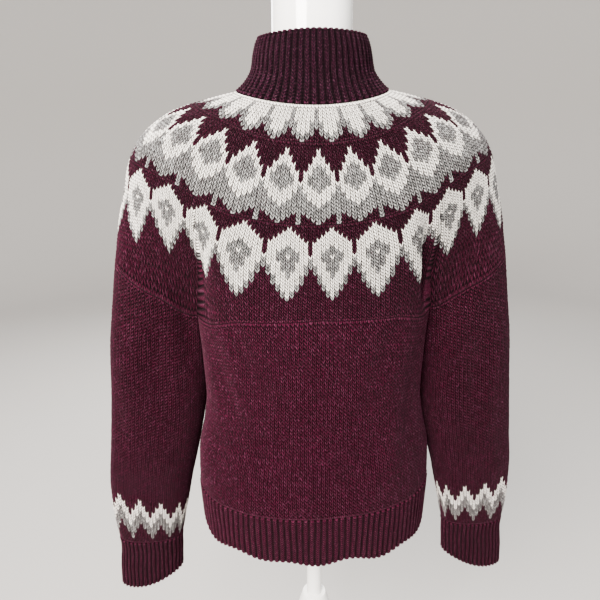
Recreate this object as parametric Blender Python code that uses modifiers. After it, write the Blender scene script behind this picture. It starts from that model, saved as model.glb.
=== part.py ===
"""Fair isle zip cardigan on a limbless dress form with a pole stand.

Units are metres and +Z is up. The origin is on the floor under the pole. The front of the
garment, with its zip, faces -Y and the back faces +Y. The wearer's left is +X. Knitted cloth is a
wall WALL thick, worked out from sections of the yoke, the body and the sleeves.
"""
import math
from collections import namedtuple

import bmesh
import bpy
import numpy as np
from mathutils import Matrix, Vector

# Cloth
WALL = 0.003
SEAM = 0.0003
SEAM_SHARE = 0.0009
FRONT_EDGE = 0.006
SQUARENESS = 2.2
BODY_ASPECT = 1.4
SLEEVE_ASPECT = 1.8

# Columns of the cloth from the middle to the crease, round the arm and under the arm
BODY_STEPS = 8
ARM_STEPS = 8
SIDE_STEPS = 3
YOKE_ROWS = 10
BODY_ROWS = 9
HEM_ROWS = 2
SLEEVE_ROWS = 11
CUFF_ROWS = 3
COLLAR_LEVELS = (0.0, 0.2, 0.45, 0.8, 1.0)

# Ribs
RIB_HEIGHT = 0.0016
COLLAR_RIBS = 50
HEM_BACK_RIBS = 48
HEM_FRONT_RIBS = 24
CUFF_RIBS = 26

# Where the yoke's ring meets the body and the sleeves, as a share of a quarter of the ring
CREASE = 0.52
BODY_CREASE = 0.76
SLEEVE_CREASE = 0.80
UNDERARM = 1.106
ARM_CLEARANCE = 0.0013

# Sections of the body: height, half width, depth to the back and to the front
BodyRow = namedtuple("BodyRow", "height half_width back front")
BODY = (
    BodyRow(0.715, 0.1755, 0.1190, 0.1215),
    BodyRow(0.780, 0.1780, 0.1215, 0.1240),
    BodyRow(0.830, 0.1795, 0.1225, 0.1250),
    BodyRow(0.880, 0.1775, 0.1195, 0.1230),
    BodyRow(0.930, 0.1670, 0.1155, 0.1195),
    BodyRow(0.979, 0.1605, 0.1135, 0.1180),
    BodyRow(1.050, 0.1625, 0.1160, 0.1235),
    BodyRow(1.106, 0.1660, 0.1180, 0.1285),
    BodyRow(1.200, 0.1700, 0.1200, 0.1320),
)

# Sections of a sleeve: height, outer edge from the middle of the garment, half width and half depth
SleeveRow = namedtuple("SleeveRow", "height outer half_width half_depth")
SLEEVE = (
    SleeveRow(0.590, 0.3285, 0.0512, 0.0215),
    SleeveRow(0.650, 0.3245, 0.0500, 0.0215),
    SleeveRow(0.696, 0.3195, 0.0490, 0.0235),
    SleeveRow(0.725, 0.3225, 0.0535, 0.0265),
    SleeveRow(0.765, 0.3250, 0.0590, 0.0295),
    SleeveRow(0.810, 0.3240, 0.0635, 0.0320),
    SleeveRow(0.877, 0.3160, 0.0677, 0.0350),
    SleeveRow(0.979, 0.3037, 0.0718, 0.0390),
    SleeveRow(1.057, 0.2948, 0.0722, 0.0430),
    SleeveRow(1.106, 0.2862, 0.0715, 0.0465),
    SleeveRow(1.150, 0.2782, 0.0675, 0.0520),
    SleeveRow(1.200, 0.2685, 0.0610, 0.0600),
)
SLEEVE_FORWARD = -0.004
SLEEVE_SQUARENESS = 2.35

# Rings of the yoke from the neckline down: share of its depth, half width, depth to the back and
# to the front, height at the side, the back and the front, and how far the ring has taken the
# lobed outline of body and sleeves
YokeRow = namedtuple("YokeRow", "share half_width back front side_height back_height front_height lobe")
YOKE = (
    YokeRow(0.000, 0.0960, 0.0850, 0.0800, 1.3990, 1.3860, 1.3660, 0.00),
    YokeRow(0.120, 0.1320, 0.1015, 0.0985, 1.3910, 1.3585, 1.3420, 0.00),
    YokeRow(0.294, 0.1825, 0.1140, 0.1160, 1.3750, 1.3150, 1.3000, 0.00),
    YokeRow(0.475, 0.2255, 0.1212, 0.1260, 1.3400, 1.2680, 1.2555, 0.05),
    YokeRow(0.563, 0.2385, 0.1230, 0.1293, 1.3150, 1.2450, 1.2340, 0.12),
    YokeRow(0.673, 0.2480, 0.1233, 0.1313, 1.2820, 1.2160, 1.2060, 0.27),
    YokeRow(0.810, 0.2595, 0.1220, 0.1320, 1.2420, 1.1800, 1.1705, 0.58),
    YokeRow(0.947, 0.2682, 0.1198, 0.1302, 1.2010, 1.1440, 1.1355, 0.92),
    YokeRow(1.000, 0.2717, 0.1190, 0.1290, 1.1850, 1.1300, 1.1220, 1.00),
)

# Lower edge of the yoke: place on the ring (0 centre back, 1 outer arm, 2 centre front), height
EdgeRow = namedtuple("EdgeRow", "place height")
YOKE_EDGE = (
    EdgeRow(0.00, 1.1300),
    EdgeRow(0.30, 1.1235),
    EdgeRow(0.52, 1.1063),
    EdgeRow(0.72, 1.1440),
    EdgeRow(1.00, 1.1850),
    EdgeRow(1.28, 1.1440),
    EdgeRow(1.48, 1.1063),
    EdgeRow(1.70, 1.1160),
    EdgeRow(2.00, 1.1220),
)

# Rings of the collar from its seam up
CollarRow = namedtuple("CollarRow", "share half_width back front side_height back_height front_height")
COLLAR = (
    CollarRow(0.00, 0.0958, 0.0848, 0.0798, 1.3993, 1.3863, 1.3663),
    CollarRow(0.18, 0.0850, 0.0785, 0.0730, 1.4095, 1.4010, 1.3795),
    CollarRow(0.40, 0.0760, 0.0732, 0.0682, 1.4240, 1.4195, 1.3960),
    CollarRow(0.70, 0.0724, 0.0698, 0.0655, 1.4430, 1.4450, 1.4190),
    CollarRow(0.90, 0.0690, 0.0662, 0.0635, 1.4550, 1.4605, 1.4340),
    CollarRow(1.00, 0.0655, 0.0632, 0.0615, 1.4620, 1.4685, 1.4410),
)

# Heights of the seams at the hem and the cuffs
HEM_TOP = 0.8245
HEM_BOTTOM = 0.7420
CUFF_TOP = 0.7090
CUFF_OUTER = 0.6080
CUFF_INNER = 0.6430

# Waves of the hem's edge: waves round the whole hem, height of the wave, where it starts
WaveRow = namedtuple("WaveRow", "waves height start")
HEM_WAVES = (
    WaveRow(1, 0.0080, -0.95),
    WaveRow(2, -0.0060, 0.0),
    WaveRow(3, 0.0022, 0.4),
    WaveRow(7, 0.0024, 1.9),
    WaveRow(11, 0.0034, 3.1),
)

# The largest folds: piece, place round it, height, width, length, slant and depth. A place on the
# body runs from 0 at centre back to 1 or -1 at the sides and 2 at centre front. A place on a
# sleeve runs from 0 at the outer edge to 1 at the body through the back, and to -1 through the front
FoldRow = namedtuple("FoldRow", "piece place height width length slant depth")
FOLDS = (
    FoldRow("body", 0.62, 1.020, 0.10, 0.085, 0.9, -0.0045),
    FoldRow("body", -0.66, 1.000, 0.09, 0.095, -0.8, -0.0050),
    FoldRow("body", 0.28, 0.935, 0.13, 0.070, 0.5, -0.0030),
    FoldRow("body", -0.22, 0.905, 0.12, 0.060, -0.6, -0.0030),
    FoldRow("body", 1.40, 1.010, 0.10, 0.090, -0.9, -0.0045),
    FoldRow("body", -1.36, 1.030, 0.10, 0.085, 0.8, -0.0050),
    FoldRow("body", 1.70, 0.920, 0.10, 0.070, -0.4, -0.0030),
    FoldRow("body", -1.66, 0.900, 0.11, 0.065, 0.5, -0.0030),
    FoldRow("sleeve_right", 0.42, 1.020, 0.11, 0.110, -0.2, -0.0060),
    FoldRow("sleeve_right", 0.20, 0.880, 0.10, 0.080, 0.5, -0.0040),
    FoldRow("sleeve_right", -0.40, 0.960, 0.12, 0.090, 0.3, -0.0050),
    FoldRow("sleeve_left", 0.50, 1.040, 0.10, 0.090, 0.2, -0.0055),
    FoldRow("sleeve_left", 0.18, 0.930, 0.12, 0.070, -0.4, -0.0040),
    FoldRow("sleeve_left", -0.45, 0.980, 0.12, 0.090, -0.3, -0.0050),
)

# Zip
ZIP_ABOVE_HEM = 0.002
ZIP_TOP = 0.97
TAPE_THICKNESS = 0.001
TAPE_INNER = 0.0036
TAPE_OUTER = 0.0160
TEETH_INNER = 0.00025
TEETH_OUTER = 0.0033
TEETH_DEPTH = 0.0022
TEETH_THICKNESS = 0.0026
SLIDER_BELOW_RIM = 0.0140
SLIDER_WIDTH = 0.0090
SLIDER_LENGTH = 0.0110
PLATE_THICKNESS = 0.0012
PLATE_GAP = 0.0005
POST_WIDTH = 0.0022
POST_FROM = 0.0010
BAIL_WIDTH = 0.0012
BAIL_WALL = 0.0010
BAIL_WINDOW = 0.0026
BAIL_CLEAR = 0.0018
BAIL_MIDDLE = 0.0008
PIN_RADIUS = 0.0005
PULL_LENGTH = 0.0240
PULL_WIDTH = 0.0060
PULL_THICKNESS = 0.0010
PULL_SLOT = 0.0038
PULL_TILT = math.radians(5.0)
STOP_WIDTH = 0.0026
STOP_LENGTH = 0.0035
BOX_WIDTH = 0.0064
BOX_LENGTH = 0.0120

# Dress form: it follows the yoke over the shoulders and has its own sections below
REST_GAP = 0.0005
FORM_EASE = 0.0060
FORM_SHOULDERS = (0.1, 0.2, 0.3)
FormRow = namedtuple("FormRow", "half_width back front side_height back_height front_height")
FORM_NECK = (
    FormRow(0.0860, 0.0785, 0.0745, 1.3925, 1.3820, 1.3615),
    FormRow(0.0660, 0.0640, 0.0610, 1.4000, 1.3920, 1.3740),
    FormRow(0.0560, 0.0560, 0.0540, 1.4160, 1.4110, 1.3960),
    FormRow(0.0500, 0.0505, 0.0500, 1.4500, 1.4500, 1.4450),
    FormRow(0.0490, 0.0490, 0.0490, 1.5200, 1.5200, 1.5200),
    FormRow(0.0468, 0.0468, 0.0468, 1.5290, 1.5290, 1.5290),
    FormRow(0.0395, 0.0395, 0.0395, 1.5340, 1.5340, 1.5340),
    FormRow(0.0210, 0.0210, 0.0210, 1.5365, 1.5365, 1.5365),
)
FORM_TORSO = (
    FormRow(0.1500, 0.1000, 0.1020, 0.7680, 0.7680, 0.7680),
    FormRow(0.1590, 0.1070, 0.1090, 0.7720, 0.7720, 0.7720),
    FormRow(0.1630, 0.1100, 0.1110, 0.7850, 0.7850, 0.7850),
    FormRow(0.1620, 0.1090, 0.1090, 0.8300, 0.8300, 0.8300),
    FormRow(0.1480, 0.1000, 0.1030, 0.9050, 0.9050, 0.9050),
    FormRow(0.1360, 0.0940, 0.0990, 0.9800, 0.9800, 0.9800),
    FormRow(0.1440, 0.0990, 0.1090, 1.0600, 1.0600, 1.0600),
    FormRow(0.1560, 0.1060, 0.1170, 1.1300, 1.1300, 1.1250),
    FormRow(0.1720, 0.1110, 0.1200, 1.2050, 1.1850, 1.1750),
    FormRow(0.1890, 0.1120, 0.1175, 1.2850, 1.2300, 1.2180),
    FormRow(0.1965, 0.1105, 0.1130, 1.3300, 1.2600, 1.2450),
    FormRow(0.1960, 0.1070, 0.1090, 1.3500, 1.2820, 1.2680),
)

# Stand
POLE_RADIUS = 0.0125
HUB_TOP = 0.5650
HUB_BORE_DEPTH = 0.0250
HUB_HEIGHT = 0.0600
LOWER_TUBE_RADIUS = 0.0160
BASE_RADIUS = 0.1700
BASE_EDGE = 0.0080
BASE_HEIGHT = 0.0220
BOSS_RADIUS = 0.0300
BOSS_HEIGHT = 0.0500

LEVEL = np.array([1.0, 1.0, 0.0])

Finish = namedtuple("Finish", "colour roughness metallic")
WOOL = Finish((0.085, 0.012, 0.028, 1.0), 0.95, 0.0)
YOKE_WOOL = Finish((0.60, 0.55, 0.50, 1.0), 0.95, 0.0)
RIB_WOOL = Finish((0.060, 0.008, 0.022, 1.0), 0.95, 0.0)
TAPE_CLOTH = Finish((0.030, 0.006, 0.012, 1.0), 0.85, 0.0)
BRASS = Finish((0.55, 0.42, 0.20, 1.0), 0.35, 1.0)
GLOSS_WHITE = Finish((0.86, 0.86, 0.83, 1.0), 0.15, 0.0)
PAINTED_METAL = Finish((0.84, 0.83, 0.80, 1.0), 0.30, 0.0)

COLLECTION = "fair_isle_zip_cardigan"


def curve(keys, values, at):
    """Read a smooth curve through rows of keys and values, held flat past both ends."""
    keys = np.asarray(keys, dtype=float)
    values = np.asarray(values, dtype=float)
    widths = np.diff(keys)
    slopes = np.diff(values) / widths
    before = 2 * widths[1:] + widths[:-1]
    after = widths[1:] + 2 * widths[:-1]
    steady = slopes[:-1] * slopes[1:] > 0
    first = np.where(steady, slopes[:-1], 1.0)
    second = np.where(steady, slopes[1:], 1.0)
    tangents = np.zeros(len(keys))
    tangents[1:-1] = np.where(steady, (before + after) / (before / first + after / second), 0.0)
    tangents[0] = slopes[0]
    tangents[-1] = slopes[-1]
    at = np.clip(at, keys[0], keys[-1])
    cell = np.clip(np.searchsorted(keys, at, side="right") - 1, 0, len(widths) - 1)
    step = widths[cell]
    s = (at - keys[cell]) / step
    rise = s * s * (3 - 2 * s)
    lead = s * (1 - s) ** 2 * step * tangents[cell]
    trail = s * s * (s - 1) * step * tangents[cell + 1]
    return values[cell] * (1 - rise) + values[cell + 1] * rise + lead + trail


def column(table, name, at):
    """Read one named column of a table at values of its first column."""
    return curve([row[0] for row in table], [getattr(row, name) for row in table], at)


def quarter(share, aspect, squareness):
    """Rounded quarter outline of a width to depth aspect, at shares of its length from the middle.

    Both results run from 0 to 1: the share of the half width and the share of the depth.
    """
    angles = np.linspace(0, math.pi / 2, 97)
    across = np.sin(angles) ** (2 / squareness)
    deep = np.cos(angles).clip(0) ** (2 / squareness)
    lengths = np.concatenate(([0], np.cumsum(np.hypot(aspect * np.diff(across), np.diff(deep)))))
    want = np.asarray(share) * lengths[-1]
    return np.interp(want, lengths, across), np.interp(want, lengths, deep)


def ring(place, half_width, back, front, aspect):
    """Plan of a ring at places from -2 to 2: 0 is centre back, 1 and -1 the sides, 2 centre front."""
    turn = np.abs(place)
    behind = turn <= 1
    across, deep = quarter(np.where(behind, turn, 2 - turn), aspect, SQUARENESS)
    return half_width * across * np.sign(place), np.where(behind, back, -front) * deep


def fold_depth(piece, place, height):
    """Depth of the folds of a piece at places and heights."""
    total = np.zeros(np.broadcast(place, height).shape)
    for fold in FOLDS:
        if fold.piece == piece:
            along = (height - fold.height) / fold.length
            across = (place - fold.place - fold.slant * fold.width * along) / fold.width
            total = total + fold.depth * np.exp(-across ** 2 - along ** 2)
    return total


def body_points(place, height):
    """Outer points of the body at places and heights."""
    place, height = np.broadcast_arrays(np.asarray(place, dtype=float), height)
    fold = fold_depth("body", place, height)
    half_width = column(BODY, "half_width", height) + fold
    back = column(BODY, "back", height) + fold
    front = column(BODY, "front", height) + fold
    x, y = ring(place, half_width, back, front, BODY_ASPECT)
    return np.stack([x, y, height], axis=-1)


def body_side(y, height):
    """Half width of the body at a depth y and a height."""
    deep = np.where(y > 0, column(BODY, "back", height), column(BODY, "front", height))
    inside = np.clip(1 - np.abs(y / deep) ** SQUARENESS, 0, 1)
    return column(BODY, "half_width", height) * inside ** (1 / SQUARENESS)


def sleeve_points(side, place, height):
    """Outer points of a sleeve: side is 1 or -1, place 0 is its outer edge and 1 or -1 the inner."""
    place, height = np.broadcast_arrays(np.asarray(place, dtype=float), height)
    place = (place + 1) % 2 - 1
    fold = fold_depth("sleeve_left" if side > 0 else "sleeve_right", place, height)
    half_width = column(SLEEVE, "half_width", height)
    middle = column(SLEEVE, "outer", height) - half_width
    turn = np.abs(place)
    outer_half = turn <= 0.5
    share = np.where(outer_half, 1 - 2 * turn, 2 * turn - 1)
    across, deep = quarter(share, SLEEVE_ASPECT, SLEEVE_SQUARENESS)
    x = middle + (half_width + fold) * across * np.where(outer_half, 1, -1)
    y = SLEEVE_FORWARD + (column(SLEEVE, "half_depth", height) + fold) * deep * np.sign(place)
    x = np.maximum(x, body_side(y, height) + ARM_CLEARANCE)
    return np.stack([side * x, y, height], axis=-1)


def edge_stations(place):
    """Where the yoke's lower edge runs: side, height, place on the body and place on the sleeve."""
    turn = np.abs(place)
    side = np.where(place >= 0, 1, -1)
    behind = np.where(turn <= 1, turn, 2 - turn)
    on_body = np.minimum(behind / CREASE, 1) * BODY_CREASE
    on_body = side * np.where(turn <= 1, on_body, 2 - on_body)
    on_sleeve = np.clip((1 - turn) / (1 - CREASE), -1, 1) * SLEEVE_CREASE
    return side, behind, column(YOKE_EDGE, "height", turn), on_body, on_sleeve


def yoke_edge(place):
    """Points of the yoke's lower edge, where the body and the sleeves carry on."""
    side, behind, height, on_body, on_sleeve = edge_stations(place)
    body = body_points(on_body, height)
    sleeves = np.where(side[..., None] > 0, sleeve_points(1, on_sleeve, height),
                       sleeve_points(-1, on_sleeve, height))
    return np.where((behind <= CREASE)[..., None], body, sleeves)


def yoke_edge_normals(place):
    """Normals of the body and the sleeves along the yoke's lower edge, halved at the creases."""
    side, behind, height, on_body, on_sleeve = edge_stations(place)
    body = outward_normals(body_points, on_body, height)
    body = body * np.sign((body * body_points(on_body, 1.0) * LEVEL).sum(-1, keepdims=True))
    sleeves = np.zeros(body.shape)
    for hand in (1, -1):
        def points_of(places, heights, hand=hand):
            return sleeve_points(hand, places, heights)
        normals = outward_normals(points_of, on_sleeve, height)
        middle = (points_of(0.25, 1.0) + points_of(-0.75, 1.0)) / 2
        outward = ((points_of(on_sleeve, height) - middle) * LEVEL * normals).sum(-1, keepdims=True)
        sleeves = np.where((side == hand)[..., None], normals * np.sign(outward), sleeves)
    both = (body + sleeves) / np.linalg.norm(body + sleeves, axis=-1, keepdims=True)
    near = (np.abs(behind - CREASE) < 0.001)[..., None]
    return np.where(near, both, np.where((behind < CREASE)[..., None], body, sleeves))


def ring_heights(row_values, place):
    """Height of a ring from its heights at the side, the back and the front."""
    side_height, back_height, front_height = row_values
    turn = np.abs(place)
    middle = np.where(turn <= 1, back_height, front_height)
    sideways = np.sin(turn * math.pi / 2) ** 2
    return middle + (side_height - middle) * sideways


def table_ring(row_values, place):
    """Points of a ring from half width, back, front and its three heights."""
    half_width, back, front, side_height, back_height, front_height = row_values
    x, y = ring(place, half_width, back, front, 2 * half_width / (back + front))
    z = ring_heights((side_height, back_height, front_height), place)
    return np.stack([x, y, z], axis=-1)


def yoke_points(place, share):
    """Outer points of one ring of the yoke."""
    place = np.asarray(place, dtype=float)
    names = YokeRow._fields[1:7]
    plain = table_ring([float(column(YOKE, name, share)) for name in names], place)
    last = table_ring([getattr(YOKE[-1], name) for name in names], place)
    return plain + float(column(YOKE, "lobe", share)) * (yoke_edge(place) - last)


def collar_points(place, share):
    """Outer points of one ring of the collar."""
    names = CollarRow._fields[1:]
    return table_ring([float(column(COLLAR, name, share)) for name in names], np.asarray(place))


def body_top(place):
    """Height of the body's upper edge under the yoke and under the arms."""
    turn = np.abs(np.asarray(place, dtype=float))
    back = turn / BODY_CREASE * CREASE
    front = 2 - (2 - turn) / BODY_CREASE * CREASE
    under = np.full(turn.shape, UNDERARM)
    height = np.where(turn <= BODY_CREASE, column(YOKE_EDGE, "height", back), under)
    height = np.where(turn >= 2 - BODY_CREASE, column(YOKE_EDGE, "height", front), height)
    return height - SEAM


def sleeve_top(place):
    """Height of a sleeve's upper edge."""
    turn = 1 - np.asarray(place, dtype=float) / SLEEVE_CREASE * (1 - CREASE)
    height = column(YOKE_EDGE, "height", turn)
    return np.where(np.abs(place) <= SLEEVE_CREASE, height, UNDERARM) - SEAM


def hem_edge(place):
    """Height of the hem's wavy lower edge."""
    angle = np.asarray(place) * math.pi / 2
    return HEM_BOTTOM + sum(w.height * np.cos(w.waves * angle + w.start) for w in HEM_WAVES)


def cuff_edge(place):
    """Height of a cuff's lower edge, lifted at the inner side."""
    lift = (1 - np.cos(np.asarray(place) * math.pi)) / 2
    return CUFF_OUTER + (CUFF_INNER - CUFF_OUTER) * lift ** 1.6


def front_place(points_of, share):
    """Place on a ring at which the front edge of the opening lies, FRONT_EDGE from the middle."""
    probe = 0.02
    x = abs(points_of(np.array([2 - probe]), share)[0][0])
    return probe / x


def outward_normals(points_of, places, levels):
    """Unit normals of a surface, from points a little to each side of places and levels."""
    step = 0.004
    across = points_of(places + step, levels) - points_of(places - step, levels)
    along = points_of(places, levels + step) - points_of(places, levels - step)
    normals = np.cross(across, along)
    return normals / np.linalg.norm(normals, axis=-1, keepdims=True)


def material(name, finish):
    """Make a material from a finish."""
    made = bpy.data.materials.new(name)
    made.use_nodes = True
    shader = made.node_tree.nodes["Principled BSDF"]
    shader.inputs["Base Color"].default_value = finish.colour
    shader.inputs["Roughness"].default_value = finish.roughness
    shader.inputs["Metallic"].default_value = finish.metallic
    made.diffuse_color = finish.colour
    return made


def add_object(name, mesh, finish):
    """Link a mesh as a named object with its own material."""
    made = bpy.data.objects.new(name, mesh)
    mesh.materials.append(material(name + "_finish", finish))
    bpy.data.collections[COLLECTION].objects.link(made)
    return made


def mesh_from_faces(name, points, faces):
    """Make a closed mesh from points and faces, with its faces turned outward."""
    mesh = bpy.data.meshes.new(name)
    mesh.from_pydata([tuple(point) for point in points], [], faces)
    shaped = bmesh.new()
    shaped.from_mesh(mesh)
    bmesh.ops.recalc_face_normals(shaped, faces=shaped.faces)
    shaped.to_mesh(mesh)
    shaped.free()
    mesh.shade_smooth()
    return mesh


def grid_faces(rows, columns, closed, start=0):
    """Faces of a grid of points, numbered from start."""
    faces = []
    for row in range(rows - 1):
        for spot in range(columns if closed else columns - 1):
            after = (spot + 1) % columns
            faces.append((
                start + row * columns + spot,
                start + row * columns + after,
                start + (row + 1) * columns + after,
                start + (row + 1) * columns + spot,
            ))
    return faces


def add_wall(name, outer, inner, finish, closed=False):
    """Loft a closed wall between a grid of outer points and a grid of inner points."""
    rows, columns = outer.shape[:2]
    points = np.concatenate([outer.reshape(-1, 3), inner.reshape(-1, 3)])
    count = rows * columns
    faces = grid_faces(rows, columns, closed) + grid_faces(rows, columns, closed, count)
    for row in (0, rows - 1):
        for spot in range(columns if closed else columns - 1):
            here = row * columns + spot
            there = row * columns + (spot + 1) % columns
            faces.append((here, there, there + count, here + count))
    if not closed:
        for spot in (0, columns - 1):
            for row in range(rows - 1):
                here = row * columns + spot
                faces.append((here, here + columns, here + columns + count, here + count))
    return add_object(name, mesh_from_faces(name, points, faces), finish)


def rib_relief(columns):
    """Relief of ribs: every other column of a grid stands up."""
    return np.where(np.arange(columns) % 2 == 1, RIB_HEIGHT, 0.0)[None, :, None]


def between(start, end, count):
    """Shares from start to end."""
    return np.linspace(start, end, count + 1)


def add_panel(name, places, tops, bottoms, rows, points_of, finish, closed=False, ribbed=False):
    """Wall between an upper and a lower edge, its ribs raised over a plain inside."""
    levels = np.stack([tops + (bottoms - tops) * share for share in between(0, 1, rows)])
    places = np.broadcast_to(places, levels.shape)
    outer = points_of(places, levels)
    normals = outward_normals(points_of, places, levels)
    if normals[..., :2].ravel() @ (outer - outer.mean(axis=1, keepdims=True))[..., :2].ravel() < 0:
        normals = -normals
    relief = rib_relief(levels.shape[1]) if ribbed else 0.0
    add_wall(name, outer + normals * relief, outer - normals * WALL, finish, closed)


def stations(*stretches):
    """Places along joined stretches, each an end after the first and its number of steps."""
    places = [np.array([stretches[0]])]
    for end, steps in stretches[1:]:
        places.append(between(places[-1][-1], end, steps)[1:])
    return np.concatenate(places)


def both_ways(places):
    """Places mirrored about 0."""
    return np.concatenate([-places[:0:-1], places])


def yoke_places(reach):
    """Columns of the yoke, which line up with those of the body and the sleeves."""
    return both_ways(stations(0.0, (CREASE, BODY_STEPS), (1.0, ARM_STEPS), (2 - CREASE, ARM_STEPS),
                              (reach, BODY_STEPS)))


def body_front_edge():
    """Place on the body's ring of the front edge of the opening."""
    return 2 - FRONT_EDGE * front_place(body_points, UNDERARM)


def build_body():
    """Back and fronts between the yoke and the hem."""
    side_seam = 1 - SEAM_SHARE
    places = both_ways(stations(0.0, (BODY_CREASE, BODY_STEPS), (side_seam, SIDE_STEPS)))
    bottoms = np.full(places.shape, HEM_TOP + SEAM)
    add_panel("back", places, body_top(places), bottoms, BODY_ROWS, body_points, WOOL)
    for side, name in ((1, "front_left"), (-1, "front_right")):
        places = side * stations(1 + SEAM_SHARE, (2 - BODY_CREASE, SIDE_STEPS),
                                 (body_front_edge(), BODY_STEPS))
        bottoms = np.full(places.shape, HEM_TOP + SEAM)
        add_panel(name, places, body_top(places), bottoms, BODY_ROWS, body_points, WOOL)


def build_hem():
    """Ribbed hem in three parts."""
    parts = (
        ("hem_back", between(-1 + SEAM_SHARE, 1 - SEAM_SHARE, 2 * HEM_BACK_RIBS)),
        ("hem_left", between(1 + SEAM_SHARE, body_front_edge(), 2 * HEM_FRONT_RIBS)),
        ("hem_right", -between(1 + SEAM_SHARE, body_front_edge(), 2 * HEM_FRONT_RIBS)),
    )
    for name, places in parts:
        tops = np.full(places.shape, HEM_TOP)
        add_panel(name, places, tops, hem_edge(places), HEM_ROWS, body_points, RIB_WOOL, ribbed=True)


def collar_places(reach):
    """Columns of the collar, two for each rib."""
    return between(-reach, reach, 2 * COLLAR_RIBS)


def opened_rings(points_of, shares, places_to):
    """Points and normals of rings that stop at the front opening."""
    rows = []
    normals = []
    for share in shares:
        places = places_to(2 - FRONT_EDGE * front_place(points_of, share))
        rows.append(points_of(places, share))
        normals.append(outward_normals(points_of, places, share))
    return np.stack(rows), np.stack(normals)


def build_yoke_and_collar():
    """Yoke and ribbed stand collar, two rings open at the centre front and mitred at the neckline."""
    yoke, yoke_normals = opened_rings(yoke_points, between(0, 1, YOKE_ROWS), yoke_places)
    collar, collar_normals = opened_rings(collar_points, COLLAR_LEVELS, collar_places)
    yoke_normals = np.where(yoke_normals[:1, :, 2:] < 0, -yoke_normals, yoke_normals)
    collar_normals = collar_normals * np.sign((collar_normals * collar * LEVEL).sum(-1, keepdims=True))
    last_places = yoke_places(2 - FRONT_EDGE * front_place(yoke_points, 1.0))
    yoke_normals[-1] = yoke_edge_normals(last_places)
    for normals, other_of, places_to in (
        (yoke_normals, collar_points, yoke_places),
        (collar_normals, yoke_points, collar_places),
    ):
        places = places_to(2 - FRONT_EDGE * front_place(other_of, 0.0))
        other = outward_normals(other_of, places, 0.0)
        other = other * np.sign((other * normals[0]).sum(-1, keepdims=True))
        both = normals[0] + other
        normals[0] = both / np.linalg.norm(both, axis=-1, keepdims=True)
    add_wall("yoke", yoke, yoke - yoke_normals * WALL, YOKE_WOOL)
    ribbed = collar + collar_normals * rib_relief(2 * COLLAR_RIBS + 1)
    add_wall("collar", ribbed, collar - collar_normals * WALL, RIB_WOOL)


def build_sleeves():
    """Sleeves and ribbed cuffs."""
    for side, word in ((1, "left"), (-1, "right")):
        def points_of(places, heights, side=side):
            return sleeve_points(side, places, heights)
        places = both_ways(stations(0.0, (SLEEVE_CREASE, ARM_STEPS), (1.0, SIDE_STEPS)))[:-1]
        bottoms = np.full(places.shape, CUFF_TOP + SEAM)
        add_panel("sleeve_" + word, places, sleeve_top(places), bottoms, SLEEVE_ROWS, points_of, WOOL,
                  closed=True)
        places = between(-1, 1, 2 * CUFF_RIBS)[:-1]
        tops = np.full(places.shape, CUFF_TOP)
        add_panel("cuff_" + word, places, tops, cuff_edge(places), CUFF_ROWS, points_of, RIB_WOOL,
                  closed=True, ribbed=True)


def front_row(points_of, side, distances, level):
    """Points and outward normals of one row beside the opening, at distances from the middle."""
    places = side * (2 - distances * front_place(points_of, level))
    normals = outward_normals(points_of, places, level)
    return points_of(places, level), normals * -np.sign(normals[..., 1:2])


def front_strip(side, distances, depth):
    """Points up the front from the hem to the rim, at distances from the middle and a depth inside."""
    edge = body_front_edge()
    low = float(hem_edge(edge))
    panel_levels = between(HEM_TOP, float(body_top(edge)), BODY_ROWS)
    body_levels = np.concatenate([[low + ZIP_ABOVE_HEM, (low + HEM_TOP) / 2], panel_levels])
    yoke_levels = between(1, 0, YOKE_ROWS)[1:-1]
    rows = []
    for points_of, levels in ((body_points, body_levels), (yoke_points, yoke_levels)):
        for level in levels:
            points, normals = front_row(points_of, side, distances, level)
            rows.append(points - normals * depth)
    points, below = front_row(yoke_points, side, distances, 0.0)
    above = front_row(collar_points, side, distances, 0.0)[1]
    mitre = (below + above) / np.linalg.norm(below + above, axis=-1, keepdims=True)
    rows.append(points - mitre * depth / (mitre * below).sum(-1, keepdims=True))
    for level in COLLAR_LEVELS[1:-1] + (ZIP_TOP,):
        points, normals = front_row(collar_points, side, distances, level)
        rows.append(points - normals * depth)
    return np.stack(rows)


def cut_strip(grid, frame, low, high):
    """Keep the stretch of a strip between two heights along the slider's frame."""
    up = np.array(frame.col[2])[:3]
    along = (grid[:, 0] - np.array(frame.translation)) @ up
    rows = []
    for limit in (low, high):
        after = int(np.searchsorted(along, limit))
        after = min(max(after, 1), len(along) - 1)
        share = (limit - along[after - 1]) / (along[after] - along[after - 1])
        rows.append(grid[after - 1] + (grid[after] - grid[after - 1]) * share)
    inside = (along > low + SEAM) & (along < high - SEAM)
    return np.concatenate([rows[0][None], grid[inside], rows[1][None]])


def slider_frame():
    """Place of the slider: X across, Y out of the collar's front, Z up along the zip."""
    middle = np.array([2.0])
    rim = collar_points(middle, 1.0)[0]
    low = collar_points(middle, 0.72)[0]
    up = Vector(rim - low).normalized()
    near = collar_points(middle, 0.80)[0]
    here = Vector(rim) - up * SLIDER_BELOW_RIM
    here.y = near[1] + (here.z - near[2]) * up.y / up.z
    across = Vector((-1.0, 0.0, 0.0))
    frame = Matrix((across, up.cross(across), up)).transposed().to_4x4()
    frame.translation = here
    return frame


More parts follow.
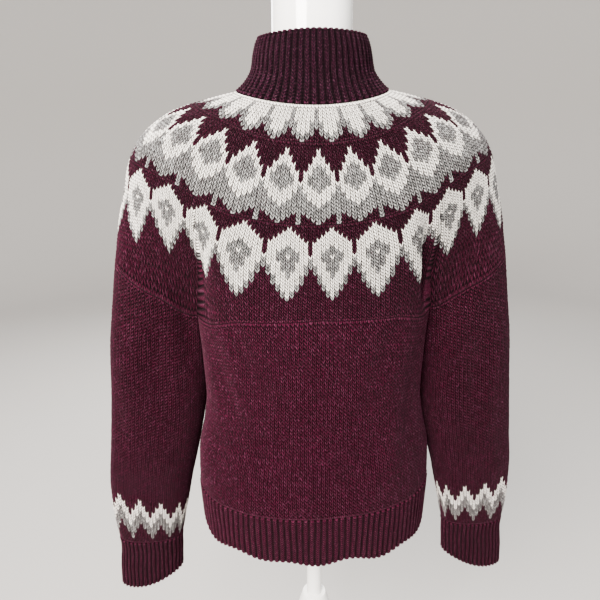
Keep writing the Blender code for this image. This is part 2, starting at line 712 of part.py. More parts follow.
def build_zip_strips():
    """Zip tapes behind the front edges and plain strips for the rows of teeth."""
    frame = slider_frame()
    up = np.array(frame.col[2])[:3]
    tape_span = np.array([TAPE_INNER, TAPE_OUTER])
    teeth_span = np.array([TEETH_INNER, TEETH_OUTER])
    for side, word in ((1, "left"), (-1, "right")):
        tape = [front_strip(side, tape_span, WALL + SEAM + deep) for deep in (0.0, TAPE_THICKNESS)]
        add_wall("zip_tape_" + word, tape[0], tape[1], TAPE_CLOTH)
        teeth = [front_strip(side, teeth_span, TEETH_DEPTH + deep) for deep in (0.0, TEETH_THICKNESS)]
        start = (teeth[0][0, 0] - np.array(frame.translation)) @ up + BOX_LENGTH + 2 * SEAM
        teeth = [cut_strip(grid, frame, start, POST_FROM - SEAM) for grid in teeth]
        add_wall("zip_teeth_" + word, teeth[0], teeth[1], BRASS)


def add_block(name, size, centre):
    """Make a block mesh of a size about a centre."""
    mesh = bpy.data.meshes.new(name)
    shaped = bmesh.new()
    bmesh.ops.create_cube(shaped, size=1.0)
    bmesh.ops.scale(shaped, vec=size, verts=shaped.verts)
    bmesh.ops.translate(shaped, vec=centre, verts=shaped.verts)
    shaped.to_mesh(mesh)
    shaped.free()
    return mesh


def add_union(name, meshes, finish):
    """Join overlapping meshes into one solid."""
    made = add_object(name, meshes[0], finish)
    for index, mesh in enumerate(meshes[1:]):
        piece = bpy.data.objects.new(name + "_part_" + str(index), mesh)
        piece.hide_render = True
        piece.display_type = "WIRE"
        bpy.data.collections["cutters"].objects.link(piece)
        joined = made.modifiers.new("join_" + str(index), "BOOLEAN")
        joined.operation = "UNION"
        joined.object = piece
    return made


def seat_union(made, parent, location, tilt=0.0):
    """Place a joined solid and the parts it is joined from on their parent."""
    parts = [made] + [item.object for item in made.modifiers]
    for part in parts:
        part.parent = parent
        part.location = location
        part.rotation_euler = (tilt, 0.0, 0.0)


def build_slider():
    """Slider with its bail, and the pull tab that swings on it."""
    seat = bpy.data.objects.new("zip_head", None)
    seat.matrix_world = slider_frame()
    bpy.data.collections[COLLECTION].objects.link(seat)
    face = -TEETH_DEPTH + PLATE_GAP + PLATE_THICKNESS
    back = -TEETH_DEPTH - TEETH_THICKNESS - PLATE_GAP
    half = SLIDER_LENGTH / 2
    plate = (SLIDER_WIDTH, PLATE_THICKNESS, SLIDER_LENGTH)
    post = (POST_WIDTH, face - back + PLATE_THICKNESS / 2, half - POST_FROM - PLATE_GAP)
    foot = (BAIL_WIDTH, BAIL_CLEAR + BAIL_WALL + PLATE_GAP, BAIL_WALL)
    foot_out = face + (BAIL_CLEAR + BAIL_WALL - PLATE_GAP) / 2
    reach = (BAIL_WINDOW + BAIL_WALL) / 2
    bar = (BAIL_WIDTH, BAIL_WALL, BAIL_WINDOW + 2 * BAIL_WALL)
    post_middle = (face + back - PLATE_THICKNESS / 2) / 2
    slider = add_union("zip_slider", [
        add_block("plate_front", plate, (0, face - PLATE_THICKNESS / 2, 0)),
        add_block("plate_back", plate, (0, back - PLATE_THICKNESS / 2, 0)),
        add_block("post", post, (0, post_middle, (half + POST_FROM - PLATE_GAP) / 2)),
        add_block("bail_foot_upper", foot, (0, foot_out, BAIL_MIDDLE + reach)),
        add_block("bail_foot_lower", foot, (0, foot_out, BAIL_MIDDLE - reach)),
        add_block("bail_bar", bar, (0, face + BAIL_CLEAR + BAIL_WALL / 2, BAIL_MIDDLE)),
    ], BRASS)
    seat_union(slider, seat, (0, 0, 0))
    pin = bpy.data.meshes.new("pull_pin")
    shaped = bmesh.new()
    turned = Matrix.Rotation(math.pi / 2, 4, "Y")
    bmesh.ops.create_cone(shaped, cap_ends=True, segments=12, radius1=PIN_RADIUS, radius2=PIN_RADIUS,
                          depth=PULL_SLOT - BAIL_WALL, matrix=turned)
    shaped.to_mesh(pin)
    shaped.free()
    arm = (BAIL_WALL, PULL_THICKNESS, PULL_SLOT + BAIL_WALL)
    arm_middle = -PULL_SLOT / 2
    tab_top = -PULL_SLOT
    tab = (PULL_WIDTH, PULL_THICKNESS, PULL_LENGTH + tab_top)
    pull = add_union("zip_pull", [
        add_block("pull_tab", tab, (0, 0, tab_top - tab[2] / 2)),
        add_block("pull_arm_left", arm, (-PULL_SLOT / 2 + BAIL_WALL / 2, 0, arm_middle)),
        add_block("pull_arm_right", arm, (PULL_SLOT / 2 - BAIL_WALL / 2, 0, arm_middle)),
        pin,
    ], BRASS)
    seat_union(pull, seat, (0, face + BAIL_CLEAR / 2, BAIL_MIDDLE), PULL_TILT)


def build_zip_ends():
    """Top stops above the slider, and the box and pin at the hem."""
    frame = slider_frame()
    middle = -TEETH_DEPTH - TEETH_THICKNESS / 2
    for side, word in ((-1, "left"), (1, "right")):
        size = (STOP_WIDTH, TEETH_THICKNESS, STOP_LENGTH)
        place = (side * (TEETH_INNER + TEETH_OUTER) / 2, middle, SLIDER_LENGTH / 2 + SEAM + STOP_LENGTH / 2)
        stop = add_object("zip_stop_" + word, add_block("zip_stop_" + word, size, place), BRASS)
        stop.matrix_world = frame
    strip = front_strip(1, np.array([TEETH_INNER, TEETH_OUTER]), TEETH_DEPTH + TEETH_THICKNESS / 2)
    up = Vector(strip[2, 0] - strip[0, 0]).normalized()
    across = Vector((-1.0, 0.0, 0.0))
    seat = Matrix((across, up.cross(across), up)).transposed().to_4x4()
    seat.translation = Vector((0.0, strip[0, 0][1], strip[0, 0][2])) + up * BOX_LENGTH / 2
    size = (BOX_WIDTH, TEETH_THICKNESS, BOX_LENGTH)
    box = add_object("zip_box", add_block("zip_box", size, (0, 0, 0)), BRASS)
    box.matrix_world = seat


def build_form():
    """Limbless dress form: neck, shoulders that carry the yoke, and torso."""
    places = yoke_places(2.0)[:-1:2]
    rows = [table_ring(row, places) for row in reversed(FORM_NECK)]
    ease = FORM_EASE * np.cos(places * math.pi / 2)[:, None] ** 2
    for share in FORM_SHOULDERS:
        normals = outward_normals(yoke_points, places, share)
        normals = normals * np.sign(normals[..., 2:])
        rows.append(yoke_points(places, share) - normals * (WALL + REST_GAP + ease))
    rows.extend(table_ring(row, places) for row in reversed(FORM_TORSO))
    grid = np.stack(rows)
    count = len(places)
    faces = grid_faces(len(rows), count, True)
    faces.append(tuple(range(count)))
    faces.append(tuple(range((len(rows) - 1) * count, len(rows) * count)))
    mesh = mesh_from_faces("form", grid.reshape(-1, 3), faces)
    mesh.set_sharp_from_angle(angle=math.radians(60))
    add_object("form", mesh, GLOSS_WHITE)


def add_turned(name, profile, finish, steps=28):
    """Turn a profile of radius and height about Z."""
    mesh = bpy.data.meshes.new(name)
    edges = [(index, index + 1) for index in range(len(profile) - 1)]
    mesh.from_pydata([(radius, 0.0, height) for radius, height in profile], edges, [])
    made = add_object(name, mesh, finish)
    screw = made.modifiers.new("turn", "SCREW")
    screw.steps = steps
    screw.render_steps = steps
    screw.use_merge_vertices = True
    screw.merge_threshold = 0.00001
    return made


def build_stand():
    """Pole, hub, lower tube and weighted base."""
    form_bottom = FORM_TORSO[0].side_height
    bore = POLE_RADIUS + SEAM
    bore_floor = HUB_TOP - HUB_BORE_DEPTH
    hub_bottom = HUB_TOP - HUB_HEIGHT
    add_turned("stand_pole", (
        (0.0, form_bottom - SEAM), (POLE_RADIUS, form_bottom - SEAM),
        (POLE_RADIUS, bore_floor + SEAM), (0.0, bore_floor + SEAM),
    ), PAINTED_METAL)
    add_turned("stand_hub", (
        (0.0, bore_floor), (bore, bore_floor), (bore, HUB_TOP), (0.0195, HUB_TOP),
        (0.0210, HUB_TOP - 0.003), (0.0240, HUB_TOP - 0.014), (0.0272, HUB_TOP - 0.026),
        (0.0280, HUB_TOP - 0.034), (0.0280, hub_bottom + 0.006), (0.0262, hub_bottom),
        (0.0, hub_bottom),
    ), PAINTED_METAL)
    add_turned("stand_tube", (
        (0.0, hub_bottom - SEAM), (LOWER_TUBE_RADIUS, hub_bottom - SEAM),
        (LOWER_TUBE_RADIUS, BOSS_HEIGHT + SEAM), (0.0, BOSS_HEIGHT + SEAM),
    ), PAINTED_METAL)
    add_turned("stand_base", (
        (0.0, BOSS_HEIGHT), (0.0240, BOSS_HEIGHT), (BOSS_RADIUS, BOSS_HEIGHT - 0.006),
        (0.0340, BASE_HEIGHT + 0.008), (0.0460, BASE_HEIGHT + 0.001), (0.0900, BASE_HEIGHT - 0.003),
        (0.1400, BASE_HEIGHT - 0.007), (BASE_RADIUS - 0.008, BASE_EDGE + 0.004),
        (BASE_RADIUS, BASE_EDGE - 0.002), (BASE_RADIUS, 0.0), (0.0, 0.0),
    ), PAINTED_METAL, steps=48)


def clear_scene():
    """Remove what the file starts with and make the two collections."""
    for item in list(bpy.data.objects):
        bpy.data.objects.remove(item)
    for name in (COLLECTION, "cutters"):
        made = bpy.data.collections.new(name)
        bpy.context.scene.collection.children.link(made)


def main():
    """Build every piece."""
    clear_scene()
    build_yoke_and_collar()
    build_body()
    build_hem()
    build_sleeves()
    build_zip_strips()
    build_slider()
    build_zip_ends()
    build_form()
    build_stand()


main()
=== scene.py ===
"""Looks of the fair isle zip cardigan on its limbless dress form.

Units are metres and +Z is up. The front of the garment, with its zip, faces -Y. The knitted cloth
is made stitch by stitch: every stitch is a small V of two raised legs on the surface of its panel,
and a chart gives each stitch its yarn. The sections of the garment are those of the part's source.
"""
import logging
import math
from collections import namedtuple
from dataclasses import dataclass, field
from enum import Enum
from typing import Callable, Optional, Sequence

import bmesh
import bpy
import numpy as np
from mathutils import Matrix, Vector


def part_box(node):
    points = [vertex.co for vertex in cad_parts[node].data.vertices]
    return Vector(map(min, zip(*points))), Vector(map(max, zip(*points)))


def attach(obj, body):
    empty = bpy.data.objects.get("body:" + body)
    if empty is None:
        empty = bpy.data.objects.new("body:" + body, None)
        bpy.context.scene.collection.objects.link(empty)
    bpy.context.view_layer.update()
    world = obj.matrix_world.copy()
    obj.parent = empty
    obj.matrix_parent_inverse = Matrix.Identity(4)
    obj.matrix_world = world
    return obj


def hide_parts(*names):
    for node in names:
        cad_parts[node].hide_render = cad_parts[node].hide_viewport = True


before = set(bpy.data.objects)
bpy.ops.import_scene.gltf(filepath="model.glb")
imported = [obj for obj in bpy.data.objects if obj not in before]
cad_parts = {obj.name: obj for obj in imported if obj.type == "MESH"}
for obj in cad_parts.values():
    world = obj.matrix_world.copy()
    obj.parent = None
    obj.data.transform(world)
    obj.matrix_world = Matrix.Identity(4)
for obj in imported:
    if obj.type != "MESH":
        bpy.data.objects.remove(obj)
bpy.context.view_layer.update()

LOG = logging.getLogger("cardigan")
Rgba = tuple[float, float, float, float]
Triple = tuple[float, float, float]
SIDES = ((1, "left"), (-1, "right"))


def table(columns: str, *rows: Sequence[float]) -> tuple:
    """Rows of numbers under named columns."""
    row = namedtuple("Row", columns)
    return tuple(row(*values) for values in rows)


# Cloth: lengths in metres, the rest shares and powers
WALL = 0.003
SEAM = 0.00002
SEAM_SHARE = 0.0009
FRONT_EDGE = 0.006
SQUARENESS = 2.2
BODY_ASPECT = 1.4
SLEEVE_ASPECT = 1.8
SLEEVE_FORWARD = -0.004
SLEEVE_SQUARENESS = 2.35
CREASE = 0.52
BODY_CREASE = 0.76
SLEEVE_CREASE = 0.80
UNDERARM = 1.106
ARM_CLEARANCE = 0.0013
RIB_HEIGHT = 0.0016
HEM_TOP = 0.8245
HEM_BOTTOM = 0.7420
CUFF_TOP = 0.7090
CUFF_OUTER = 0.6080
CUFF_INNER = 0.6430
CUFF_EASE = 0.004
CUFF_LIFT = 2.4
FOLD_FADE = 6
QUARTER_POINTS = 193
FRONT_PROBE = 0.02

# One stitch, in metres, and how far its legs stand out
STITCH_WIDTH = 0.0054
STITCH_HEIGHT = 0.0053
RIB_STITCH_HEIGHT = 0.00425
COLLAR_STITCH_WIDTH = 0.0044
CUFF_STITCH_WIDTH = 0.0038
HEM_STITCH_WIDTH = 0.0047
STITCH_RELIEF = 0.0015
STITCH_SINK = 0.0007

# Outer side of the garment, from ring to ring
BODY = table(
    "height half_width back front",
    (0.715, 0.1755, 0.1190, 0.1215),
    (0.780, 0.1780, 0.1215, 0.1240),
    (0.830, 0.1795, 0.1225, 0.1250),
    (0.880, 0.1775, 0.1195, 0.1230),
    (0.930, 0.1670, 0.1155, 0.1195),
    (0.979, 0.1605, 0.1135, 0.1180),
    (1.050, 0.1625, 0.1160, 0.1235),
    (1.106, 0.1660, 0.1180, 0.1285),
    (1.200, 0.1700, 0.1200, 0.1320),
)
SLEEVE = table(
    "height outer half_width half_depth",
    (0.590, 0.3285, 0.0512, 0.0215),
    (0.650, 0.3245, 0.0500, 0.0215),
    (0.696, 0.3195, 0.0490, 0.0235),
    (0.725, 0.3225, 0.0535, 0.0265),
    (0.765, 0.3250, 0.0590, 0.0295),
    (0.810, 0.3240, 0.0635, 0.0320),
    (0.877, 0.3160, 0.0677, 0.0350),
    (0.979, 0.3037, 0.0718, 0.0390),
    (1.057, 0.2948, 0.0722, 0.0430),
    (1.106, 0.2862, 0.0715, 0.0465),
    (1.150, 0.2782, 0.0675, 0.0520),
    (1.200, 0.2685, 0.0610, 0.0600),
)
YOKE = table(
    "share half_width back front side_height back_height front_height lobe",
    (0.000, 0.0960, 0.0850, 0.0800, 1.3990, 1.3860, 1.3660, 0.00),
    (0.120, 0.1320, 0.1015, 0.0985, 1.3910, 1.3585, 1.3420, 0.00),
    (0.294, 0.1825, 0.1140, 0.1160, 1.3750, 1.3150, 1.3000, 0.00),
    (0.475, 0.2255, 0.1212, 0.1260, 1.3400, 1.2680, 1.2555, 0.05),
    (0.563, 0.2385, 0.1230, 0.1293, 1.3150, 1.2450, 1.2340, 0.12),
    (0.673, 0.2480, 0.1233, 0.1313, 1.2820, 1.2160, 1.2060, 0.27),
    (0.810, 0.2595, 0.1220, 0.1320, 1.2420, 1.1800, 1.1705, 0.58),
    (0.947, 0.2682, 0.1198, 0.1302, 1.2010, 1.1440, 1.1355, 0.92),
    (1.000, 0.2717, 0.1190, 0.1290, 1.1850, 1.1300, 1.1220, 1.00),
)
YOKE_EDGE = table(
    "place height",
    (0.00, 1.1300),
    (0.30, 1.1235),
    (0.52, 1.1063),
    (0.72, 1.1440),
    (1.00, 1.1850),
    (1.28, 1.1440),
    (1.48, 1.1063),
    (1.70, 1.1160),
    (2.00, 1.1220),
)
COLLAR = table(
    "share half_width back front side_height back_height front_height",
    (0.00, 0.0958, 0.0848, 0.0798, 1.3993, 1.3863, 1.3663),
    (0.18, 0.0850, 0.0785, 0.0730, 1.4095, 1.4010, 1.3795),
    (0.40, 0.0760, 0.0732, 0.0682, 1.4240, 1.4195, 1.3960),
    (0.70, 0.0724, 0.0698, 0.0655, 1.4430, 1.4450, 1.4190),
    (0.90, 0.0690, 0.0662, 0.0635, 1.4550, 1.4605, 1.4340),
    (1.00, 0.0655, 0.0632, 0.0615, 1.4620, 1.4685, 1.4410),
)
HEM_WAVES = table(
    "waves height start",
    (1, 0.0080, -0.95),
    (2, -0.0060, 0.0),
    (3, 0.0022, 0.4),
    (7, 0.0024, 1.9),
    (11, 0.0034, 3.1),
)
# Folds by piece, with their depth outward; the soft ones are in the scene alone
FOLD = "place height width length slant depth"
FOLDS = {
    "body": table(
        FOLD,
        (0.62, 1.020, 0.10, 0.085, 0.9, -0.0045),
        (-0.66, 1.000, 0.09, 0.095, -0.8, -0.0050),
        (0.28, 0.935, 0.13, 0.070, 0.5, -0.0030),
        (-0.22, 0.905, 0.12, 0.060, -0.6, -0.0030),
        (1.40, 1.010, 0.10, 0.090, -0.9, -0.0045),
        (-1.36, 1.030, 0.10, 0.085, 0.8, -0.0050),
        (1.70, 0.920, 0.10, 0.070, -0.4, -0.0030),
        (-1.66, 0.900, 0.11, 0.065, 0.5, -0.0030),
    ),
    "sleeve_right": table(
        FOLD,
        (0.42, 1.020, 0.11, 0.110, -0.2, -0.0060),
        (0.20, 0.880, 0.10, 0.080, 0.5, -0.0040),
        (-0.40, 0.960, 0.12, 0.090, 0.3, -0.0050),
    ),
    "sleeve_left": table(
        FOLD,
        (0.50, 1.040, 0.10, 0.090, 0.2, -0.0055),
        (0.18, 0.930, 0.12, 0.070, -0.4, -0.0040),
        (-0.45, 0.980, 0.12, 0.090, -0.3, -0.0050),
    ),
}
SOFT_FOLDS = {
    "body": table(
        FOLD,
        (0.66, 0.905, 0.11, 0.060, 0.7, -0.0026),
        (0.44, 0.985, 0.09, 0.055, 1.1, 0.0022),
        (-0.50, 0.940, 0.10, 0.075, -0.9, 0.0024),
        (-0.70, 0.880, 0.08, 0.050, 0.4, -0.0024),
        (-0.38, 1.055, 0.07, 0.060, -1.2, -0.0022),
        (0.08, 0.870, 0.09, 0.045, 0.2, 0.0018),
        (0.46, 1.070, 0.06, 0.050, 1.2, -0.0022),
        (1.30, 0.900, 0.11, 0.065, -0.7, -0.0026),
        (1.58, 0.985, 0.09, 0.055, 1.0, 0.0022),
        (-1.52, 0.930, 0.10, 0.070, 0.8, 0.0022),
        (-1.24, 0.890, 0.09, 0.050, -0.5, -0.0026),
        (-1.62, 1.050, 0.07, 0.055, 1.1, -0.0020),
    ),
    "sleeve_left": table(
        FOLD,
        (0.30, 0.800, 0.10, 0.040, 0.9, -0.0028),
        (0.62, 0.870, 0.09, 0.045, -0.8, 0.0022),
        (-0.22, 0.760, 0.12, 0.035, 0.5, -0.0026),
        (-0.60, 0.850, 0.10, 0.050, 0.7, 0.0022),
        (0.70, 1.120, 0.100, 0.080, -0.7, -0.0090),
    ),
    "sleeve_right": table(
        FOLD,
        (0.26, 0.775, 0.11, 0.036, -0.7, -0.0028),
        (0.64, 0.930, 0.10, 0.050, 0.9, 0.0024),
        (-0.28, 0.845, 0.11, 0.042, 0.6, -0.0028),
        (-0.62, 0.790, 0.09, 0.040, -0.6, 0.0020),
        (0.68, 1.130, 0.110, 0.090, -0.8, -0.0130),
        (0.40, 1.110, 0.100, 0.080, -0.6, 0.0040),
    ),
    "yoke": table(
        FOLD,
        (0.52, 0.82, 0.055, 0.18, 0.5, -0.0080),
        (-0.49, 0.84, 0.040, 0.20, -0.6, -0.0210),
        (-0.62, 0.84, 0.060, 0.16, -0.3, 0.0045),
        (0.70, 0.70, 0.090, 0.12, 0.3, 0.0025),
        (-0.36, 0.86, 0.070, 0.10, 0.6, 0.0022),
        (1.48, 0.80, 0.060, 0.16, -0.5, -0.0045),
        (-1.47, 0.79, 0.060, 0.15, 0.5, -0.0040),
    ),
}
# Rings of the form: half width, back, front, and their heights at side, back and front
FORM_NECK = (
    (0.0860, 0.0785, 0.0745, 1.3925, 1.3820, 1.3615),
    (0.0660, 0.0640, 0.0610, 1.4000, 1.3920, 1.3740),
    (0.0560, 0.0560, 0.0540, 1.4160, 1.4110, 1.3960),
    (0.0500, 0.0505, 0.0500, 1.4500, 1.4500, 1.4450),
    (0.0490, 0.0490, 0.0490, 1.5200, 1.5200, 1.5200),
    (0.0468, 0.0468, 0.0468, 1.5290, 1.5290, 1.5290),
    (0.0395, 0.0395, 0.0395, 1.5340, 1.5340, 1.5340),
    (0.0210, 0.0210, 0.0210, 1.5365, 1.5365, 1.5365),
)
FORM_TORSO = (
    (0.1500, 0.1000, 0.1020, 0.7680, 0.7680, 0.7680),
    (0.1590, 0.1070, 0.1090, 0.7720, 0.7720, 0.7720),
    (0.1630, 0.1100, 0.1110, 0.7850, 0.7850, 0.7850),
    (0.1620, 0.1090, 0.1090, 0.8300, 0.8300, 0.8300),
    (0.1480, 0.1000, 0.1030, 0.9050, 0.9050, 0.9050),
    (0.1360, 0.0940, 0.0990, 0.9800, 0.9800, 0.9800),
    (0.1440, 0.0990, 0.1090, 1.0600, 1.0600, 1.0600),
    (0.1560, 0.1060, 0.1170, 1.1300, 1.1300, 1.1250),
    (0.1720, 0.1110, 0.1200, 1.2050, 1.1850, 1.1750),
    (0.1890, 0.1120, 0.1175, 1.2850, 1.2300, 1.2180),
    (0.1965, 0.1105, 0.1130, 1.3300, 1.2600, 1.2450),
    (0.1960, 0.1070, 0.1090, 1.3500, 1.2820, 1.2680),
)
FORM_SHOULDERS = (0.1, 0.2, 0.3)
FORM_EASE = 0.0060
FORM_STEP = 0.004
REST_GAP = 0.0005


def curve(keys: Sequence[float], values: Sequence[float], at: np.ndarray) -> np.ndarray:
    """Read a smooth curve through rows of keys and values, held flat past both ends.

    Args:
        keys: rising keys.
        values: value at each key.
        at: where to read the curve.

    Returns:
        The values there.
    """
    keys = np.asarray(keys, dtype=float)
    values = np.asarray(values, dtype=float)
    widths = np.diff(keys)
    slopes = np.diff(values) / widths
    before = 2 * widths[1:] + widths[:-1]
    after = widths[1:] + 2 * widths[:-1]
    steady = slopes[:-1] * slopes[1:] > 0
    first = np.where(steady, slopes[:-1], 1.0)
    second = np.where(steady, slopes[1:], 1.0)
    tangents = np.zeros(len(keys))
    tangents[1:-1] = np.where(steady, (before + after) / (before / first + after / second), 0.0)
    tangents[0] = slopes[0]
    tangents[-1] = slopes[-1]
    at = np.clip(at, keys[0], keys[-1])
    cell = np.clip(np.searchsorted(keys, at, side="right") - 1, 0, len(widths) - 1)
    step = widths[cell]
    s = (at - keys[cell]) / step
    rise = s * s * (3 - 2 * s)
    lead = s * (1 - s) ** 2 * step * tangents[cell]
    trail = s * s * (s - 1) * step * tangents[cell + 1]
    return values[cell] * (1 - rise) + values[cell + 1] * rise + lead + trail


def column(rows: Sequence[tuple], name: str, at: np.ndarray) -> np.ndarray:
    """Read one named column of a table at values of its first column."""
    return curve([row[0] for row in rows], [getattr(row, name) for row in rows], at)


def unit(vectors: np.ndarray) -> np.ndarray:
    """Vectors drawn to length one."""
    return vectors / np.maximum(np.linalg.norm(vectors, axis=-1, keepdims=True), 1e-12)


def walked(line: np.ndarray) -> np.ndarray:
    """Length from the start of a line to each of its points."""
    return np.concatenate(([0], np.cumsum(np.linalg.norm(np.diff(line, axis=0), axis=-1))))


def along(line: np.ndarray, lengths: np.ndarray, at: np.ndarray) -> np.ndarray:
    """Points of a line at lengths from its start."""
    return np.stack([np.interp(at, lengths, line[:, axis]) for axis in range(3)], axis=-1)


def hump(at: np.ndarray, middle: float, width: float) -> np.ndarray:
    """Smooth hump of height one."""
    return np.exp(-((at - middle) / width) ** 2)


def read_rows(grid: np.ndarray, at: np.ndarray) -> np.ndarray:
    """Read a grid of points between its rows.

    Args:
        grid: points by row and column.
        at: row numbers, with parts of a row, for each column.

    Returns:
        The points there.
    """
    low = np.minimum(at.astype(int), len(grid) - 2)
    share = (at - low)[..., None]
    spots = np.arange(grid.shape[1])[None, :]
    return grid[low, spots] * (1 - share) + grid[low + 1, spots] * share


def quarter(share: np.ndarray, aspect: float,
            squareness: float) -> tuple[np.ndarray, np.ndarray]:
    """Rounded quarter outline.

    Args:
        share: shares of the outline's length, from its middle.
        aspect: width to depth.
        squareness: 2 for an ellipse, more for a squarer outline.

    Returns:
        Shares of the half width and of the half depth there.
    """
    angles = np.linspace(0, math.pi / 2, QUARTER_POINTS)
    across = np.sin(angles) ** (2 / squareness)
    deep = np.cos(angles).clip(0) ** (2 / squareness)
    lengths = np.concatenate(([0], np.cumsum(np.hypot(aspect * np.diff(across), np.diff(deep)))))
    want = np.asarray(share) * lengths[-1]
    return np.interp(want, lengths, across), np.interp(want, lengths, deep)


def ring(place: np.ndarray, half_width: np.ndarray, back: np.ndarray, front: np.ndarray,
         aspect: float) -> tuple[np.ndarray, np.ndarray]:
    """Plan of a ring round the garment.

    Args:
        place: 0 at centre back, 1 and -1 at the sides, 2 and -2 at centre front.
        half_width: metres from the middle to the side.
        back: metres from the middle to the back.
        front: metres from the middle to the front.
        aspect: width to depth.

    Returns:
        The x and y of the places.
    """
    turn = np.abs(place)
    behind = turn <= 1
    across, deep = quarter(np.where(behind, turn, 2 - turn), aspect, SQUARENESS)
    return half_width * across * np.sign(place), np.where(behind, back, -front) * deep


def fold_depth(piece: str, place: np.ndarray, height: np.ndarray) -> np.ndarray:
    """Depth of the folds of a piece.

    Args:
        piece: its name in the tables of folds.
        place: places round the piece.
        height: heights there, or shares of the yoke's depth.

    Returns:
        Metres outward, below zero in a trough.
    """
    total = np.zeros(np.broadcast(place, height).shape)
    for fold in FOLDS.get(piece, ()) + SOFT_FOLDS.get(piece, ()):
        upward = (height - fold.height) / fold.length
        across = (place - fold.place - fold.slant * fold.width * upward) / fold.width
        total = total + fold.depth * np.exp(-across ** 2 - upward ** 2)
    return total


def body_points(place: np.ndarray, height: np.ndarray) -> np.ndarray:
    """Outer points of the body.

    Args:
        place: places round the body.
        height: heights there.

    Returns:
        The points.
    """
    place, height = np.broadcast_arrays(np.asarray(place, dtype=float), height)
    fold = fold_depth("body", place, height)
    half_width = column(BODY, "half_width", height) + fold
    back = column(BODY, "back", height) + fold
    front = column(BODY, "front", height) + fold
    x, y = ring(place, half_width, back, front, BODY_ASPECT)
    return np.stack([x, y, height], axis=-1)


def body_side(y: np.ndarray, height: np.ndarray) -> np.ndarray:
    """Half width of the body where a sleeve lies against it.

    Args:
        y: depths from the middle.
        height: heights there.

    Returns:
        Metres from the middle.
    """
    deep = np.where(y > 0, column(BODY, "back", height), column(BODY, "front", height))
    inside = np.clip(1 - np.abs(y / deep) ** SQUARENESS, 0, 1)
    return column(BODY, "half_width", height) * inside ** (1 / SQUARENESS)


def sleeve_points(side: int, place: np.ndarray, height: np.ndarray) -> np.ndarray:
    """Outer points of a sleeve.

    Args:
        side: 1 for the wearer's left, -1 for the right.
        place: 0 at the outer edge, 1 and -1 at the inner.
        height: heights there.

    Returns:
        The points.
    """
    place, height = np.broadcast_arrays(np.asarray(place, dtype=float), height)
    place = (place + 1) % 2 - 1
    fold = fold_depth("sleeve_left" if side > 0 else "sleeve_right", place, height)
    half_width = column(SLEEVE, "half_width", height)
    middle = column(SLEEVE, "outer", height) - half_width
    turn = np.abs(place)
    outer_half = turn <= 0.5
    share = np.where(outer_half, 1 - 2 * turn, 2 * turn - 1)
    across, deep = quarter(share, SLEEVE_ASPECT, SLEEVE_SQUARENESS)
    x = middle + (half_width + fold) * across * np.where(outer_half, 1, -1)
    y = SLEEVE_FORWARD + (column(SLEEVE, "half_depth", height) + fold) * deep * np.sign(place)
    x = np.maximum(x, body_side(y, height) + ARM_CLEARANCE)
    return np.stack([side * x, y, height], axis=-1)


def yoke_edge(place: np.ndarray) -> np.ndarray:
    """Points of the yoke's lower edge, where the body and the sleeves carry on.

    Args:
        place: places round the yoke.

    Returns:
        The points, the body's near the middles and the sleeves' at the sides.
    """
    turn = np.abs(place)
    side = np.where(place >= 0, 1, -1)
    behind = np.where(turn <= 1, turn, 2 - turn)
    on_body = np.minimum(behind / CREASE, 1) * BODY_CREASE
    on_body = side * np.where(turn <= 1, on_body, 2 - on_body)
    on_sleeve = np.clip((1 - turn) / (1 - CREASE), -1, 1) * SLEEVE_CREASE
    height = column(YOKE_EDGE, "height", turn)
    body = body_points(on_body, height)
    sleeves = np.where(side[..., None] > 0, sleeve_points(1, on_sleeve, height),
                       sleeve_points(-1, on_sleeve, height))
    return np.where((behind <= CREASE)[..., None], body, sleeves)


def table_ring(values: Sequence[float], place: np.ndarray) -> np.ndarray:
    """Points of a ring of a table.

    Args:
        values: half width, back, front, and the heights at side, back and front.
        place: places round the ring.

    Returns:
        The points.
    """
    half_width, back, front, side_height, back_height, front_height = values
    x, y = ring(place, half_width, back, front, 2 * half_width / (back + front))
    turn = np.abs(place)
    middle = np.where(turn <= 1, back_height, front_height)
    z = middle + (side_height - middle) * np.sin(turn * math.pi / 2) ** 2
    return np.stack([x, y, z], axis=-1)


def yoke_points(place: np.ndarray, share: float) -> np.ndarray:
    """Outer points of one ring of the yoke.

    Args:
        place: places round the ring.
        share: share of the yoke's depth, 0 at the neck.

    Returns:
        The points.
    """
    place = np.asarray(place, dtype=float)
    names = YOKE[0]._fields[1:7]
    plain = table_ring([float(column(YOKE, name, share)) for name in names], place)
    last = table_ring([getattr(YOKE[-1], name) for name in names], place)
    points = plain + float(column(YOKE, "lobe", share)) * (yoke_edge(place) - last)
    fold = fold_depth("yoke", place, np.full(place.shape, share)) * (1 - share ** FOLD_FADE)
    points[..., :2] += unit(points[..., :2]) * fold[..., None]
    return points


def collar_points(place: np.ndarray, share: float) -> np.ndarray:
    """Outer points of one ring of the collar."""
    names = COLLAR[0]._fields[1:]
    return table_ring([float(column(COLLAR, name, share)) for name in names], np.asarray(place))


def body_top(place: np.ndarray) -> np.ndarray:
    """Height of the body's upper edge under the yoke and under the arms."""
    turn = np.abs(np.asarray(place, dtype=float))
    back = turn / BODY_CREASE * CREASE
    front = 2 - (2 - turn) / BODY_CREASE * CREASE
    height = np.where(turn <= BODY_CREASE, column(YOKE_EDGE, "height", back), UNDERARM)
    height = np.where(turn >= 2 - BODY_CREASE, column(YOKE_EDGE, "height", front), height)
    return height - SEAM


def sleeve_top(place: np.ndarray) -> np.ndarray:
    """Height of a sleeve's upper edge."""
    turn = 1 - np.asarray(place, dtype=float) / SLEEVE_CREASE * (1 - CREASE)
    height = column(YOKE_EDGE, "height", turn)
    return np.where(np.abs(place) <= SLEEVE_CREASE, height, UNDERARM) - SEAM


